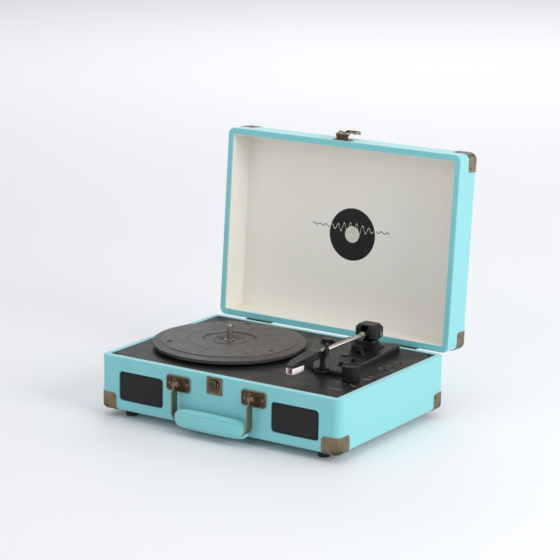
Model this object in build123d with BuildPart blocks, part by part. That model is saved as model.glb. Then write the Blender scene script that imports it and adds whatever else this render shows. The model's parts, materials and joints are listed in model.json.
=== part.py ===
from build123d import *
from math import cos, radians, sin
import os

# Suitcase record player, lid open. Millimetres, +Z up, -Y towards the handle, floor at Z = 0.

os.makedirs("parts", exist_ok=True)

# ---------------------------------------------------------------- driving dimensions

# Case
CASE_W = 354.0
CASE_D = 255.0
CASE_H = 70.0
CASE_Y = -27.1              # case centre, so that the open player's outline is centred on Y = 0
CASE_WALL = 8.0
CASE_FLOOR = 5.0
CORNER_R = 9.0
EDGE_R = 5.5
RIM_EDGE_R = 1.6
FOOT_H = 10.0
FOOT_INSET_X = 32.8
FOOT_INSET_Y = 21.0
SCREW_INSET = 6.0
SCREW_R = 1.5

# Lid
LID_H = 45.5
LID_TOP = 3.5
LID_OPEN_ANGLE = 94.0
LINING_T = 1.0
HINGE_BEHIND = 3.4          # hinge line behind the back wall
HINGE_BELOW = 4.4           # hinge line under the rim

# Metal trim
GUARD_T = 0.8
GUARD_SIDE = 24.0
GUARD_H = 22.0
GUARD_ROUND = 4.0
PLATE_T = 1.2
RIVET_R = 1.9
RIVET_H = 0.9

# Deck and platter
DECK_RECESS = 0.6
DECK_T = 2.5
DECK_GAP = 0.2
PLATTER_X = -65.5
PLATTER_Y = -3.0
PLATTER_R = 98.5
PLATTER_TOP = 11.2          # record level above the deck
SPINDLE_R = 3.55
SPINDLE_SHOULDER_R = 3.9
SPINDLE_TOP = 29.8
BELT_RIM_R = 72.0
PULLEY_R = 5.0
PULLEY_ANGLE = 135.0
PULLEY_DISTANCE = 84.0
RUNNING_GAP = 0.05

# Speakers
SPEAKER_X = 114.5
SPEAKER_UP = 33.0           # grille centre above the case bottom
GRILLE_W = 68.0
GRILLE_H = 38.0
GRILLE_R = 5.0

# Handle
HANDLE_HALF = 56.0
HANDLE_UP = 51.0            # pivot above the case bottom
HANDLE_OUT = 5.5            # pivot in front of the case
STRAP_W = 11.0
STRAP_T = 2.0
STRAP_OUT = 10.0            # strap centre in front of the case
GRIP_L = 108.0
GRIP_H = 25.0
GRIP_D = 16.0
GRIP_DROP = 39.5            # grip centre under the pivot

# Lid latch
LATCH_X = -2.0
HASP_OUT = 8.0              # hasp pivot in front of the lid
HASP_UP = 6.0               # hasp pivot above the rim

# Tonearm, measured from the case centre and the deck
ARM_X = 95.0
ARM_PIVOT_Y = 80.0
ARM_UP = 27.5
TUBE_R = 3.0
REST_Y = -37.0
SHELL_REAR_Y = -45.0
SHELL_TIP_Y = -110.0
ARM_BASE_FRONT_H = 5.5
ARM_BASE_BACK_H = 10.0
ARM_BASE_FRONT_Y = -47.0
ARM_BASE_BACK_Y = 104.0
PIVOT_BOSS_H = 9.9
LIFT_X = 92.0
LIFT_Y = 53.0
LIFT_TOWER_R = 7.8
LIFT_TOWER_H = 17.0

# Controls
VOLUME_X = 143.0
VOLUME_Y = -46.0
VOLUME_R = 11.0
VOLUME_H = 19.5
JACK_X = 152.0
JACK_YS = (21.0, 40.0, 59.0)
JACK_BORE_R = 1.8
SPEED_X = 40.0
SPEED_Y = 66.0

# ---------------------------------------------------------------- derived levels and planes

BASE_Z = FOOT_H
RIM_Z = BASE_Z + CASE_H
DECK_Z = RIM_Z - DECK_RECESS
FRONT_Y = CASE_Y - CASE_D / 2
BACK_Y = CASE_Y + CASE_D / 2
CAVITY_W = CASE_W - 2 * CASE_WALL
CAVITY_D = CASE_D - 2 * CASE_WALL
foot_grid = GridLocations(CASE_W - 2 * FOOT_INSET_X, CASE_D - 2 * FOOT_INSET_Y, 2, 2)
screw_grid = GridLocations(CAVITY_W - 2 * SCREW_INSET, CAVITY_D - 2 * SCREW_INSET, 2, 2)
LID_CLOSED_TOP = RIM_Z + LID_H
HINGE_Y = BACK_Y + HINGE_BEHIND
HINGE_Z = RIM_Z - HINGE_BELOW
HINGE_LINE = Axis((0, HINGE_Y, HINGE_Z), (1, 0, 0))
FRONT = Plane((0, FRONT_Y, 0), x_dir=(1, 0, 0), z_dir=(0, -1, 0))
BACK = Plane((0, BACK_Y, 0), x_dir=(-1, 0, 0), z_dir=(0, 1, 0))
SIDE = Plane.YZ


def case_level(z):
    """Horizontal plane at height z, centred on the case."""
    return Plane((0, CASE_Y, z))


def deck_point(x, y, up=0.0):
    """Horizontal plane centred x, y from the case centre and up above the deck."""
    return Plane((x, CASE_Y + y, DECK_Z + up))


def save(builder, name):
    builder.part.label = name
    export_step(builder.part, f"parts/{name}.step")


def save_on_lid(builder, name):
    """Pieces of the lid are drawn with the lid shut, then turned open about the hinge line."""
    opened = builder.part.rotate(HINGE_LINE, -LID_OPEN_ANGLE)
    opened.label = name
    export_step(opened, f"parts/{name}.step")


# ---------------------------------------------------------------- case shells

def case_block(closed_z, open_z, grow=0.0):
    """Solid case outline whose closed end, at closed_z, has rounded edges."""
    with BuildPart() as block:
        with BuildSketch(case_level(closed_z)):
            RectangleRounded(CASE_W + 2 * grow, CASE_D + 2 * grow, CORNER_R + grow)
        extrude(amount=open_z - closed_z)
        closed_end = block.faces().sort_by_distance((0, CASE_Y, closed_z))[0]
        fillet(closed_end.edges(), EDGE_R + grow)
    return block.part


GRILLE_SPOTS = [(-SPEAKER_X, BASE_Z + SPEAKER_UP), (SPEAKER_X, BASE_Z + SPEAKER_UP)]
GRILLE_POCKET = 3.0
GRILLE_FIT = 0.2
SLOT_W = 60.0
SLOT_H = 30.0
POWER_X = 120.0
POWER_UP = 25.0
POWER_R = 5.5

with BuildPart() as base_case:
    add(case_block(BASE_Z, RIM_Z))
    rim_face = base_case.faces().sort_by(Axis.Z)[-1]
    fillet(rim_face.edges(), RIM_EDGE_R)
    with BuildSketch(case_level(RIM_Z)):
        Rectangle(CAVITY_W, CAVITY_D)
    extrude(amount=CASE_FLOOR - CASE_H, mode=Mode.SUBTRACT)
    with BuildSketch(FRONT):
        with Locations(*GRILLE_SPOTS):
            RectangleRounded(GRILLE_W + 2 * GRILLE_FIT, GRILLE_H + 2 * GRILLE_FIT, GRILLE_R)
    extrude(amount=-GRILLE_POCKET, mode=Mode.SUBTRACT)
    with BuildSketch(FRONT):
        with Locations(*GRILLE_SPOTS):
            RectangleRounded(SLOT_W, SLOT_H, GRILLE_R)
    extrude(amount=-CASE_WALL, mode=Mode.SUBTRACT)
    with BuildSketch(BACK):
        with Locations((-POWER_X, BASE_Z + POWER_UP)):
            Circle(POWER_R)
    extrude(amount=-CASE_WALL, mode=Mode.SUBTRACT)
    with BuildSketch(case_level(BASE_Z)):
        with foot_grid:
            Circle(1.4)
    extrude(amount=CASE_FLOOR, mode=Mode.SUBTRACT)
save(base_case, "base_case")

BLOCK_SIDE = 18.0

with BuildPart() as corner_blocks:
    with BuildSketch(case_level(BASE_Z + CASE_FLOOR)):
        with GridLocations(CAVITY_W - BLOCK_SIDE, CAVITY_D - BLOCK_SIDE, 2, 2):
            Rectangle(BLOCK_SIDE, BLOCK_SIDE)
    extrude(amount=DECK_Z - DECK_T - BASE_Z - CASE_FLOOR)
    with BuildSketch(case_level(DECK_Z - DECK_T)):
        with screw_grid:
            Circle(SCREW_R)
    extrude(amount=-10.0, mode=Mode.SUBTRACT)
save(corner_blocks, "corner_blocks")

with BuildPart() as lid_shell:
    add(case_block(LID_CLOSED_TOP, RIM_Z))
    lid_rim = lid_shell.faces().sort_by(Axis.Z)[0]
    fillet(lid_rim.edges(), RIM_EDGE_R)
    with BuildSketch(case_level(RIM_Z)):
        Rectangle(CAVITY_W, CAVITY_D)
    extrude(amount=LID_H - LID_TOP, mode=Mode.SUBTRACT)
save_on_lid(lid_shell, "lid_shell")

LINING_RECESS = 0.8

with BuildPart() as lid_lining:
    with BuildSketch(case_level(RIM_Z + LINING_RECESS)):
        Rectangle(CAVITY_W, CAVITY_D)
    extrude(amount=LID_H - LID_TOP - LINING_RECESS)
    with BuildSketch(case_level(RIM_Z + LINING_RECESS)):
        Rectangle(CAVITY_W - 2 * LINING_T, CAVITY_D - 2 * LINING_T)
    extrude(amount=LID_H - LID_TOP - LINING_RECESS - LINING_T, mode=Mode.SUBTRACT)
save_on_lid(lid_lining, "lid_lining")


# ---------------------------------------------------------------- corner guards and rivets

def corner_guards(closed_z, direction):
    """Four pressed metal corners at the closed end of a case shell.

    direction is +1 where the shell rises from closed_z and -1 where it hangs from it.
    """
    reach = direction * (GUARD_H + 10)
    outer = case_block(closed_z - direction * GUARD_T, closed_z + reach, GUARD_T)
    inner = case_block(closed_z, closed_z + reach)
    tool_z = closed_z + direction * (GUARD_H / 2 - 1)
    with BuildPart() as corner_tools:
        with BuildSketch(case_level(tool_z)):
            spread_x = CASE_W + 2 - GUARD_SIDE
            spread_y = CASE_D + 2 - GUARD_SIDE
            with GridLocations(spread_x, spread_y, 2, 2):
                Rectangle(GUARD_SIDE + 2, GUARD_SIDE + 2)
        extrude(amount=GUARD_H / 2 + 1, both=True)
        ends = corner_tools.faces().filter_by(Axis.Z).sort_by(Axis.Z)
        far_ends = ends[-4:] if direction > 0 else ends[:4]
        inner_edges = []
        for end in far_ends:
            inner_edges += end.edges().sort_by_distance((0, CASE_Y, end.center().Z))[:2]
        fillet(inner_edges, GUARD_ROUND)
    with BuildPart() as guards:
        add(outer)
        add(inner, mode=Mode.SUBTRACT)
        add(corner_tools.part, mode=Mode.INTERSECT)
    return guards


save(corner_guards(BASE_Z, 1), "base_corner_guards")
save_on_lid(corner_guards(LID_CLOSED_TOP, -1), "lid_corner_guards")


def rivet_heads(faces):
    """Domed rivet heads; faces is a list of (plane, list of spots on that plane)."""
    with BuildPart() as heads:
        for plane, spots in faces:
            with BuildSketch(plane):
                with Locations(*spots):
                    Circle(RIVET_R)
            extrude(amount=RIVET_H)
        round_rims = heads.edges().filter_by(GeomType.CIRCLE)
        tops = [edge for edge in round_rims if is_outer_rim(edge, faces)]
        fillet(tops, RIVET_H * 0.7)
    return heads


def is_outer_rim(edge, faces):
    """True for the head's far rim, which stands RIVET_H off every plane it could belong to."""
    centre = edge.arc_center
    distances = [abs((centre - plane.origin).dot(plane.z_dir)) for plane, _ in faces]
    return min(distances) > 0.5 * RIVET_H


LEFT = Plane((-CASE_W / 2, CASE_Y, 0), x_dir=(0, -1, 0), z_dir=(-1, 0, 0))
RIGHT = Plane((CASE_W / 2, CASE_Y, 0), x_dir=(0, 1, 0), z_dir=(1, 0, 0))
RIVET_IN = 19.5
GUARD_RIVET_X = CASE_W / 2 - RIVET_IN
GUARD_RIVET_Y = CASE_D / 2 - RIVET_IN
BRACKET_RIVET_X = 13.0
LATCH_RIVET_X = 8.8


def guard_rivet_faces(height):
    """Rivet spots on the four sides of a case shell, two to a side."""
    wide = [(-GUARD_RIVET_X, height), (GUARD_RIVET_X, height)]
    deep = [(-GUARD_RIVET_Y, height), (GUARD_RIVET_Y, height)]
    return [
        (FRONT.offset(GUARD_T), wide),
        (BACK.offset(GUARD_T), wide),
        (LEFT.offset(GUARD_T), deep),
        (RIGHT.offset(GUARD_T), deep),
    ]


HANDLE_Z = BASE_Z + HANDLE_UP
LATCH_PLATE_W = 23.0
LATCH_PLATE_H = 22.0
LATCH_PLATE_Z = RIM_Z - 2.0 - LATCH_PLATE_H / 2
HASP_Z = RIM_Z + HASP_UP
HASP_Y = FRONT_Y - HASP_OUT
BRACKET_W = 36.0
BRACKET_H = 20.0
HINGE_X = 112.0
HINGE_LEAF_W = 40.0
HINGE_LEAF_H = 14.0
HINGE_T = 1.2

bracket_spots = [
    (side * HANDLE_HALF + step, HANDLE_Z)
    for side in (-1, 1)
    for step in (-BRACKET_RIVET_X, BRACKET_RIVET_X)
]
latch_spots = [
    (LATCH_X + x, LATCH_PLATE_Z + z)
    for x in (-LATCH_RIVET_X, LATCH_RIVET_X)
    for z in (-8.3, 8.3)
]
base_hinge_spots = [
    (side * HINGE_X + step, HINGE_Z - 10.0)
    for side in (-1, 1)
    for step in (-14.0, 14.0)
]
base_faces = guard_rivet_faces(BASE_Z + GUARD_H - 5.0)
base_faces += [(FRONT.offset(PLATE_T), bracket_spots + latch_spots)]
base_faces += [(BACK.offset(HINGE_T), base_hinge_spots)]
save(rivet_heads(base_faces), "base_rivets")

lid_latch_spots = [(LATCH_X - 10.0, RIM_Z + 10.5), (LATCH_X + 10.0, RIM_Z + 10.5)]
lid_hinge_spots = [(x, HINGE_Z + 13.5) for x, _ in base_hinge_spots]
lid_faces = guard_rivet_faces(LID_CLOSED_TOP - GUARD_H + 5.0)
lid_faces += [(FRONT.offset(PLATE_T), lid_latch_spots)]
lid_faces += [(BACK.offset(HINGE_T), lid_hinge_spots)]
save_on_lid(rivet_heads(lid_faces), "lid_rivets")

# ---------------------------------------------------------------- feet

FOOT_TOP_R = 8.0
FOOT_BOTTOM_R = 7.2
FOOT_WELL_R = 4.2
FOOT_WELL_H = 5.0
FOOT_SCREW_R = 1.4

with BuildPart(case_level(0)) as feet:
    with foot_grid:
        Cone(FOOT_BOTTOM_R, FOOT_TOP_R, FOOT_H, align=(Align.CENTER, Align.CENTER, Align.MIN))
        Cylinder(
            FOOT_WELL_R,
            FOOT_WELL_H,
            align=(Align.CENTER, Align.CENTER, Align.MIN),
            mode=Mode.SUBTRACT,
        )
        Cylinder(
            FOOT_SCREW_R + 0.1,
            FOOT_H,
            align=(Align.CENTER, Align.CENTER, Align.MIN),
            mode=Mode.SUBTRACT,
        )
save(feet, "feet")

# ---------------------------------------------------------------- lid hinges

KNUCKLE_R = 2.6
HINGE_PIN_R = 1.2
KNUCKLE_GAP = 0.3
MIDDLE_KNUCKLE = 16.0
LEAF_START = 2.3            # leaf edge, off the hinge line


def hinge_leaves(upward, knuckles, bore_r):
    """Leaf, bridge and knuckles of both hinges.

    upward is +1 for the lid's leaf and -1 for the base's; knuckles lists (centre, length) along X.
    """
    leaf_near = upward * LEAF_START
    with BuildPart() as leaves:
        for side in (-1, 1):
            centre_x = side * HINGE_X
            with BuildSketch(SIDE.offset(centre_x - HINGE_LEAF_W / 2)):
                with Locations((BACK_Y + HINGE_T / 2, HINGE_Z + leaf_near + upward * HINGE_LEAF_H / 2)):
                    Rectangle(HINGE_T, HINGE_LEAF_H)
            extrude(amount=HINGE_LEAF_W)
            for offset_x, length in knuckles:
                with BuildSketch(SIDE.offset(centre_x + offset_x - length / 2)):
                    with Locations((HINGE_Y, HINGE_Z)):
                        Circle(KNUCKLE_R)
                    with Locations(((BACK_Y + HINGE_Y) / 2, HINGE_Z + upward * (LEAF_START + 0.2))):
                        Rectangle(HINGE_BEHIND, 1.2)
                    with Locations((HINGE_Y, HINGE_Z)):
                        Circle(bore_r, mode=Mode.SUBTRACT)
                extrude(amount=length)
    return leaves


outer_length = (HINGE_LEAF_W - MIDDLE_KNUCKLE) / 2 - KNUCKLE_GAP
outer_centre = (HINGE_LEAF_W - outer_length) / 2
save(
    hinge_leaves(-1, [(-outer_centre, outer_length), (outer_centre, outer_length)], HINGE_PIN_R),
    "hinge_base_leaves",
)
save_on_lid(
    hinge_leaves(1, [(0.0, MIDDLE_KNUCKLE)], HINGE_PIN_R + RUNNING_GAP),
    "hinge_lid_leaves",
)

with BuildPart() as hinge_pins:
    for side in (-1, 1):
        with BuildSketch(SIDE.offset(side * HINGE_X - HINGE_LEAF_W / 2)):
            with Locations((HINGE_Y, HINGE_Z)):
                Circle(HINGE_PIN_R)
        extrude(amount=HINGE_LEAF_W)
save(hinge_pins, "hinge_pins")

# ---------------------------------------------------------------- latch

HOOD_X = LATCH_X - 1.0
HOOD_W = 10.4

with BuildPart() as latch_catch:
    with BuildSketch(FRONT):
        with Locations((LATCH_X, LATCH_PLATE_Z)):
            RectangleRounded(LATCH_PLATE_W, LATCH_PLATE_H, 1.5)
    extrude(amount=PLATE_T)
    with BuildSketch(FRONT):
        with BuildLine():
            Polyline(
                (HOOD_X - HOOD_W / 2, LATCH_PLATE_Z + 7.3),
                (HOOD_X + HOOD_W / 2, LATCH_PLATE_Z + 7.3),
                (HOOD_X + HOOD_W / 2, LATCH_PLATE_Z - 3.2),
                (HOOD_X, LATCH_PLATE_Z - 6.2),
                (HOOD_X - HOOD_W / 2, LATCH_PLATE_Z - 3.2),
                close=True,
            )
        make_face()
    extrude(amount=5.2)
    hood_face = latch_catch.faces().sort_by(Axis.Y)[0]
    fillet(hood_face.edges(), 1.0)
    with BuildSketch(FRONT):
        with Locations((LATCH_X + 6.3, LATCH_PLATE_Z + 1.0)):
            Rectangle(1.2, 9.0)
    extrude(amount=3.4)
save(latch_catch, "latch_catch")

LID_BOX_W = 14.0
HASP_PIN_R = 1.0
HASP_EAR_T = 1.5
HASP_SIDE_GAP = 0.3

HASP_PIVOT = (HASP_Y + 0.8, HASP_Z)
HASP_HALF = LID_BOX_W / 2 + HASP_SIDE_GAP + HASP_EAR_T

with BuildPart() as latch_bracket:
    with BuildSketch(FRONT):
        with Locations((LATCH_X, RIM_Z + 9.0)):
            RectangleRounded(26.0, 13.0, 3.0)
    extrude(amount=PLATE_T)
    with BuildSketch(SIDE.offset(LATCH_X - LID_BOX_W / 2)):
        with Locations((FRONT_Y - 4.6, RIM_Z + 6.3)):
            RectangleRounded(9.2, 7.4, 1.4)
    extrude(amount=LID_BOX_W)
    with BuildSketch(SIDE.offset(LATCH_X - HASP_HALF - 0.6)):
        with Locations(HASP_PIVOT):
            Circle(HASP_PIN_R)
    extrude(amount=2 * HASP_HALF + 1.2)
save_on_lid(latch_bracket, "latch_bracket")


def hasp_point(out, up):
    """Point of the hasp's side outline: out from its pivot, away from the lid, and up from it."""
    return (HASP_PIVOT[0] - out, HASP_PIVOT[1] + up)


with BuildPart() as latch_hasp:
    with BuildSketch(SIDE.offset(LATCH_X - HASP_HALF)):
        with BuildLine():
            Polyline(
                hasp_point(0.8, -2.0),
                hasp_point(-1.6, 1.0),
                hasp_point(2.9, 8.0),
                hasp_point(0.0, 17.0),
                hasp_point(0.0, 26.5),
                hasp_point(-2.4, 40.0),
                hasp_point(-1.0, 40.0),
                hasp_point(1.6, 31.5),
                hasp_point(3.6, 30.5),
                hasp_point(3.6, 25.5),
                hasp_point(1.6, 18.0),
                hasp_point(4.6, 8.0),
                hasp_point(2.0, 0.0),
                close=True,
            )
        make_face()
        with Locations(HASP_PIVOT):
            Circle(2.2)
            Circle(HASP_PIN_R + RUNNING_GAP, mode=Mode.SUBTRACT)
    extrude(amount=2 * HASP_HALF)
    with BuildSketch(FRONT.offset(-40.0)):
        with Locations((LATCH_X, HASP_Z + 10.5)):
            Rectangle(LID_BOX_W + 2 * HASP_SIDE_GAP, 31.0)
    extrude(amount=80.0, mode=Mode.SUBTRACT)
    with BuildSketch(FRONT.offset(-40.0)):
        for side in (-1, 1):
            with Locations((LATCH_X + side * 8.0, HASP_Z + 37.0)):
                Rectangle(7.0, 11.0)
    extrude(amount=80.0, mode=Mode.SUBTRACT)
save_on_lid(latch_hasp, "latch_hasp")

# ---------------------------------------------------------------- handle

LUG_T = 2.4
LUG_GAP = 0.4
HANDLE_PIN_R = 2.0
PIVOT_Y = FRONT_Y - HANDLE_OUT
STRAP_Y = FRONT_Y - STRAP_OUT

with BuildPart() as handle_brackets:
    with BuildSketch(FRONT):
        with Locations((-HANDLE_HALF, HANDLE_Z), (HANDLE_HALF, HANDLE_Z)):
            RectangleRounded(BRACKET_W, BRACKET_H, 4.0)
    extrude(amount=PLATE_T)
    with BuildSketch(FRONT.offset(PLATE_T)):
        with Locations((-HANDLE_HALF, HANDLE_Z), (HANDLE_HALF, HANDLE_Z)):
            RectangleRounded(BRACKET_W, BRACKET_H, 4.0)
            RectangleRounded(BRACKET_W - 2.4, BRACKET_H - 2.4, 3.0, mode=Mode.SUBTRACT)
    extrude(amount=0.5)
    lug_steps = (-STRAP_T / 2 - LUG_GAP - LUG_T, STRAP_T / 2 + LUG_GAP)
    for side in (-1, 1):
        for step in lug_steps:
            with BuildSketch(SIDE.offset(side * HANDLE_HALF + step)):
                with Locations((PIVOT_Y, HANDLE_Z)):
                    Circle(4.2)
                with Locations(((FRONT_Y + PIVOT_Y) / 2, HANDLE_Z)):
                    Rectangle(HANDLE_OUT, 8.4)
                with Locations((PIVOT_Y, HANDLE_Z)):
                    Circle(HANDLE_PIN_R, mode=Mode.SUBTRACT)
            extrude(amount=LUG_T)
save(handle_brackets, "handle_brackets")

with BuildPart() as handle_pins:
    pin_half = STRAP_T / 2 + LUG_GAP + LUG_T + 0.6
    for side in (-1, 1):
        with BuildSketch(SIDE.offset(side * HANDLE_HALF - pin_half)):
            with Locations((PIVOT_Y, HANDLE_Z)):
                Circle(HANDLE_PIN_R)
        extrude(amount=2 * pin_half)
save(handle_pins, "handle_pins")

STRAP_BOTTOM = HANDLE_Z - GRIP_DROP - 7.0
BAIL_R = 14.0
NECK_DROP = 11.0

with BuildPart() as handle_strap:
    bail_width = 2 * HANDLE_HALF + STRAP_T
    bail_top = HANDLE_Z - NECK_DROP
    bail_height = HANDLE_Z - STRAP_BOTTOM
    with BuildSketch(FRONT.offset(STRAP_OUT - STRAP_W / 2)):
        with Locations((0, STRAP_BOTTOM + bail_height / 2)):
            RectangleRounded(bail_width, bail_height, BAIL_R)
            RectangleRounded(
                bail_width - 2 * STRAP_T,
                bail_height - 2 * STRAP_T,
                BAIL_R - STRAP_T,
                mode=Mode.SUBTRACT,
            )
        with Locations((0, bail_top + bail_height / 2)):
            Rectangle(bail_width, bail_height, mode=Mode.SUBTRACT)
    extrude(amount=STRAP_W)
    for side in (-1, 1):
        with BuildSketch(SIDE.offset(side * HANDLE_HALF - STRAP_T / 2)):
            with BuildLine():
                Polyline(
                    (STRAP_Y + STRAP_W / 2, bail_top),
                    (PIVOT_Y + 3.4, HANDLE_Z - 3.0),
                    (PIVOT_Y + 3.6, HANDLE_Z + 1.6),
                    (PIVOT_Y, HANDLE_Z + 4.0),
                    (PIVOT_Y - 3.4, HANDLE_Z + 2.0),
                    (STRAP_Y - STRAP_W / 2, bail_top + 3.0),
                    (STRAP_Y - STRAP_W / 2, bail_top),
                    close=True,
                )
            make_face()
            with Locations((PIVOT_Y, HANDLE_Z)):
                Circle(HANDLE_PIN_R + RUNNING_GAP, mode=Mode.SUBTRACT)
        extrude(amount=STRAP_T)
save(handle_strap, "handle_strap")

GRIP_Z = HANDLE_Z - GRIP_DROP

with BuildPart() as handle_grip:
    with BuildSketch(FRONT.offset(STRAP_OUT - GRIP_D / 2)):
        with Locations((0, GRIP_Z)):
            RectangleRounded(GRIP_L, GRIP_H, 12.0)
    extrude(amount=GRIP_D)
    long_edges = handle_grip.faces().filter_by(Axis.Y).edges()
    fillet(long_edges, 6.5)
    add(handle_strap.part, mode=Mode.SUBTRACT)
save(handle_grip, "handle_grip")

# ---------------------------------------------------------------- speakers

GRILLE_T = 1.6
GRILLE_SET_BACK = 1.0
DRIVER_R = 24.0

with BuildPart() as speaker_grilles:
    with BuildSketch(FRONT.offset(-GRILLE_SET_BACK)):
        with Locations(*GRILLE_SPOTS):
            RectangleRounded(GRILLE_W, GRILLE_H, GRILLE_R)
    extrude(amount=-GRILLE_T)
save(speaker_grilles, "speaker_grilles")


def speaker_piece(outline):
    """Turn a (radius, depth) outline round each speaker's axis, behind the front wall."""
    with BuildPart() as piece:
        for x, z in GRILLE_SPOTS:
            origin = (x, FRONT_Y + CASE_WALL, z)
            section = Plane(origin, x_dir=(1, 0, 0), z_dir=(0, 0, 1))
            with BuildSketch(section):
                with BuildLine():
                    Polyline(*outline, close=True)
                make_face()
            revolve(axis=Axis(origin, (0, 1, 0)))
    return piece


speaker_frame_outline = [
    (20.5, 0.0),
    (DRIVER_R, 0.0),
    (DRIVER_R, 1.5),
    (21.8, 1.5),
    (13.5, 12.0),
    (16.0, 12.0),
    (16.0, 20.0),
    (0.0, 20.0),
    (0.0, 13.0),
    (7.0, 13.0),
    (12.3, 11.2),
    (20.5, 1.5),
]
speaker_cone_outline = [
    (0.0, 6.2),
    (5.0, 7.6),
    (19.6, 0.6),
    (20.3, 0.6),
    (20.3, 1.4),
    (19.6, 1.4),
    (6.0, 9.4),
    (6.0, 12.6),
    (0.0, 12.6),
]
save(speaker_piece(speaker_frame_outline), "speaker_frames")
save(speaker_piece(speaker_cone_outline), "speaker_cones")

# ---------------------------------------------------------------- deck

DECK_W = CAVITY_W - 2 * DECK_GAP
DECK_D = CAVITY_D - 2 * DECK_GAP
JACK_BUSH_R = 3.0
VOLUME_BUSH_R = 3.6
ARM_SHAFT_HOLE_R = 4.5
BASE_SCREW_SPOTS = [(117.0, 94.0), (117.0, -30.0), (64.0, 96.0)]
pulley_x = PLATTER_X + PULLEY_DISTANCE * cos(radians(PULLEY_ANGLE))
pulley_y = PLATTER_Y + PULLEY_DISTANCE * sin(radians(PULLEY_ANGLE))

with BuildPart() as deck_plate:
    with BuildSketch(case_level(DECK_Z)):
        Rectangle(DECK_W, DECK_D)
        with screw_grid:
            Circle(SCREW_R + 0.2, mode=Mode.SUBTRACT)
        with Locations((PLATTER_X, PLATTER_Y)):
            Circle(SPINDLE_SHOULDER_R, mode=Mode.SUBTRACT)
        with Locations((pulley_x, pulley_y)):
            Circle(PULLEY_R + 2.0, mode=Mode.SUBTRACT)
        with Locations(*[(JACK_X, y) for y in JACK_YS]):
            Circle(JACK_BUSH_R, mode=Mode.SUBTRACT)
        with Locations((VOLUME_X, VOLUME_Y)):
            Circle(VOLUME_BUSH_R, mode=Mode.SUBTRACT)
        with Locations((ARM_X, ARM_PIVOT_Y)):
            Circle(ARM_SHAFT_HOLE_R, mode=Mode.SUBTRACT)
        with Locations(*BASE_SCREW_SPOTS):
            Circle(1.5, mode=Mode.SUBTRACT)
    extrude(amount=-DECK_T)
save(deck_plate, "deck_plate")

with BuildPart() as case_screws:
    with BuildSketch(case_level(DECK_Z)):
        with screw_grid:
            Circle(3.0)
    extrude(amount=1.4)
    head_rims = case_screws.edges().filter_by(GeomType.CIRCLE).group_by(Axis.Z)[-1]
    fillet(head_rims, 0.9)
    with BuildSketch(case_level(DECK_Z + 1.4)):
        with screw_grid:
            Rectangle(3.0, 0.6)
            Rectangle(0.6, 3.0)
    extrude(amount=-0.8, mode=Mode.SUBTRACT)
    with BuildSketch(case_level(DECK_Z)):
        with screw_grid:
            Circle(SCREW_R)
    extrude(amount=-DECK_T - 8.0)
    with BuildSketch(case_level(FOOT_WELL_H - 2.0)):
        with foot_grid:
            Circle(3.0)
    extrude(amount=2.0)
    with BuildSketch(case_level(FOOT_WELL_H)):
        with foot_grid:
            Circle(FOOT_SCREW_R)
    extrude(amount=FOOT_H - FOOT_WELL_H + CASE_FLOOR)
save(case_screws, "case_screws")

# ---------------------------------------------------------------- platter, spindle and drive

PLATTER_AXIS = Axis((PLATTER_X, CASE_Y + PLATTER_Y, 0), (0, 0, 1))
PLATTER_SECTION = Plane((PLATTER_X, CASE_Y + PLATTER_Y, DECK_Z), x_dir=(1, 0, 0), z_dir=(0, -1, 0))
HUB_BORE_R = SPINDLE_SHOULDER_R + RUNNING_GAP
HUB_FLOOR = 8.6
PLATTER_UNDER = 8.5
HUB_UNDER = 6.6
RING_R = 52.8
FIELD_R = PLATTER_R - 10.6  # edge of the flat that carries the record
GROOVE = 0.5
PAD_R = 3.6
PAD_CIRCLE_R = 78.0
PAD_ANGLE = 106.0
PAD_DEPTH = 1.4

platter_outline = [
    (HUB_BORE_R, 2.6),
    (8.0, 2.6),
    (8.0, HUB_UNDER),
    (38.0, HUB_UNDER),
    (38.0, PLATTER_UNDER),
    (BELT_RIM_R - 2.3, PLATTER_UNDER),
    (BELT_RIM_R - 2.3, 3.2),
    (BELT_RIM_R, 3.2),
    (BELT_RIM_R, PLATTER_UNDER),
    (PLATTER_R - 5.0, PLATTER_UNDER),
    (PLATTER_R - 3.4, 7.0),
    (PLATTER_R - 3.4, 3.5),
    (PLATTER_R - 1.4, 3.5),
    (PLATTER_R - 1.4, 5.4),
    (PLATTER_R, 6.0),
    (PLATTER_R, 8.0),
    (PLATTER_R - 10.4, 10.3),
    (FIELD_R, PLATTER_TOP),
    (RING_R + GROOVE, PLATTER_TOP),
    (RING_R, PLATTER_TOP - GROOVE),
    (RING_R - GROOVE, PLATTER_TOP),
    (35.4, PLATTER_TOP),
    (34.8, 9.7),
    (22.6, 9.7),
    (22.2, 10.5),
    (19.6, 10.5),
    (19.2, 9.7),
    (13.6, 9.7),
    (13.2, HUB_FLOOR),
    (HUB_BORE_R, HUB_FLOOR),
]

with BuildPart() as platter:
    with BuildSketch(PLATTER_SECTION):
        with BuildLine():
            Polyline(*platter_outline, close=True)
        make_face()
    revolve(axis=PLATTER_AXIS)
    with BuildSketch(deck_point(PLATTER_X, PLATTER_Y, PLATTER_TOP)):
        with PolarLocations((RING_R + FIELD_R) / 2, 8, start_angle=5):
            Rectangle(FIELD_R - RING_R - 4.0, 0.7)
    extrude(amount=-GROOVE, mode=Mode.SUBTRACT)
    with BuildSketch(deck_point(PLATTER_X, PLATTER_Y, PLATTER_TOP)):
        with PolarLocations(PAD_CIRCLE_R, 3, start_angle=PAD_ANGLE):
            Circle(PAD_R)
    extrude(amount=-PAD_DEPTH, mode=Mode.SUBTRACT)
save(platter, "platter")

with BuildPart() as platter_pads:
    with BuildSketch(deck_point(PLATTER_X, PLATTER_Y, PLATTER_TOP - PAD_DEPTH)):
        with PolarLocations(PAD_CIRCLE_R, 3, start_angle=PAD_ANGLE):
            Circle(PAD_R)
    extrude(amount=PAD_DEPTH - 0.5)
save(platter_pads, "platter_pads")

NUT_TOP = -DECK_T
SPINDLE_BOTTOM = -14.0

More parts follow.
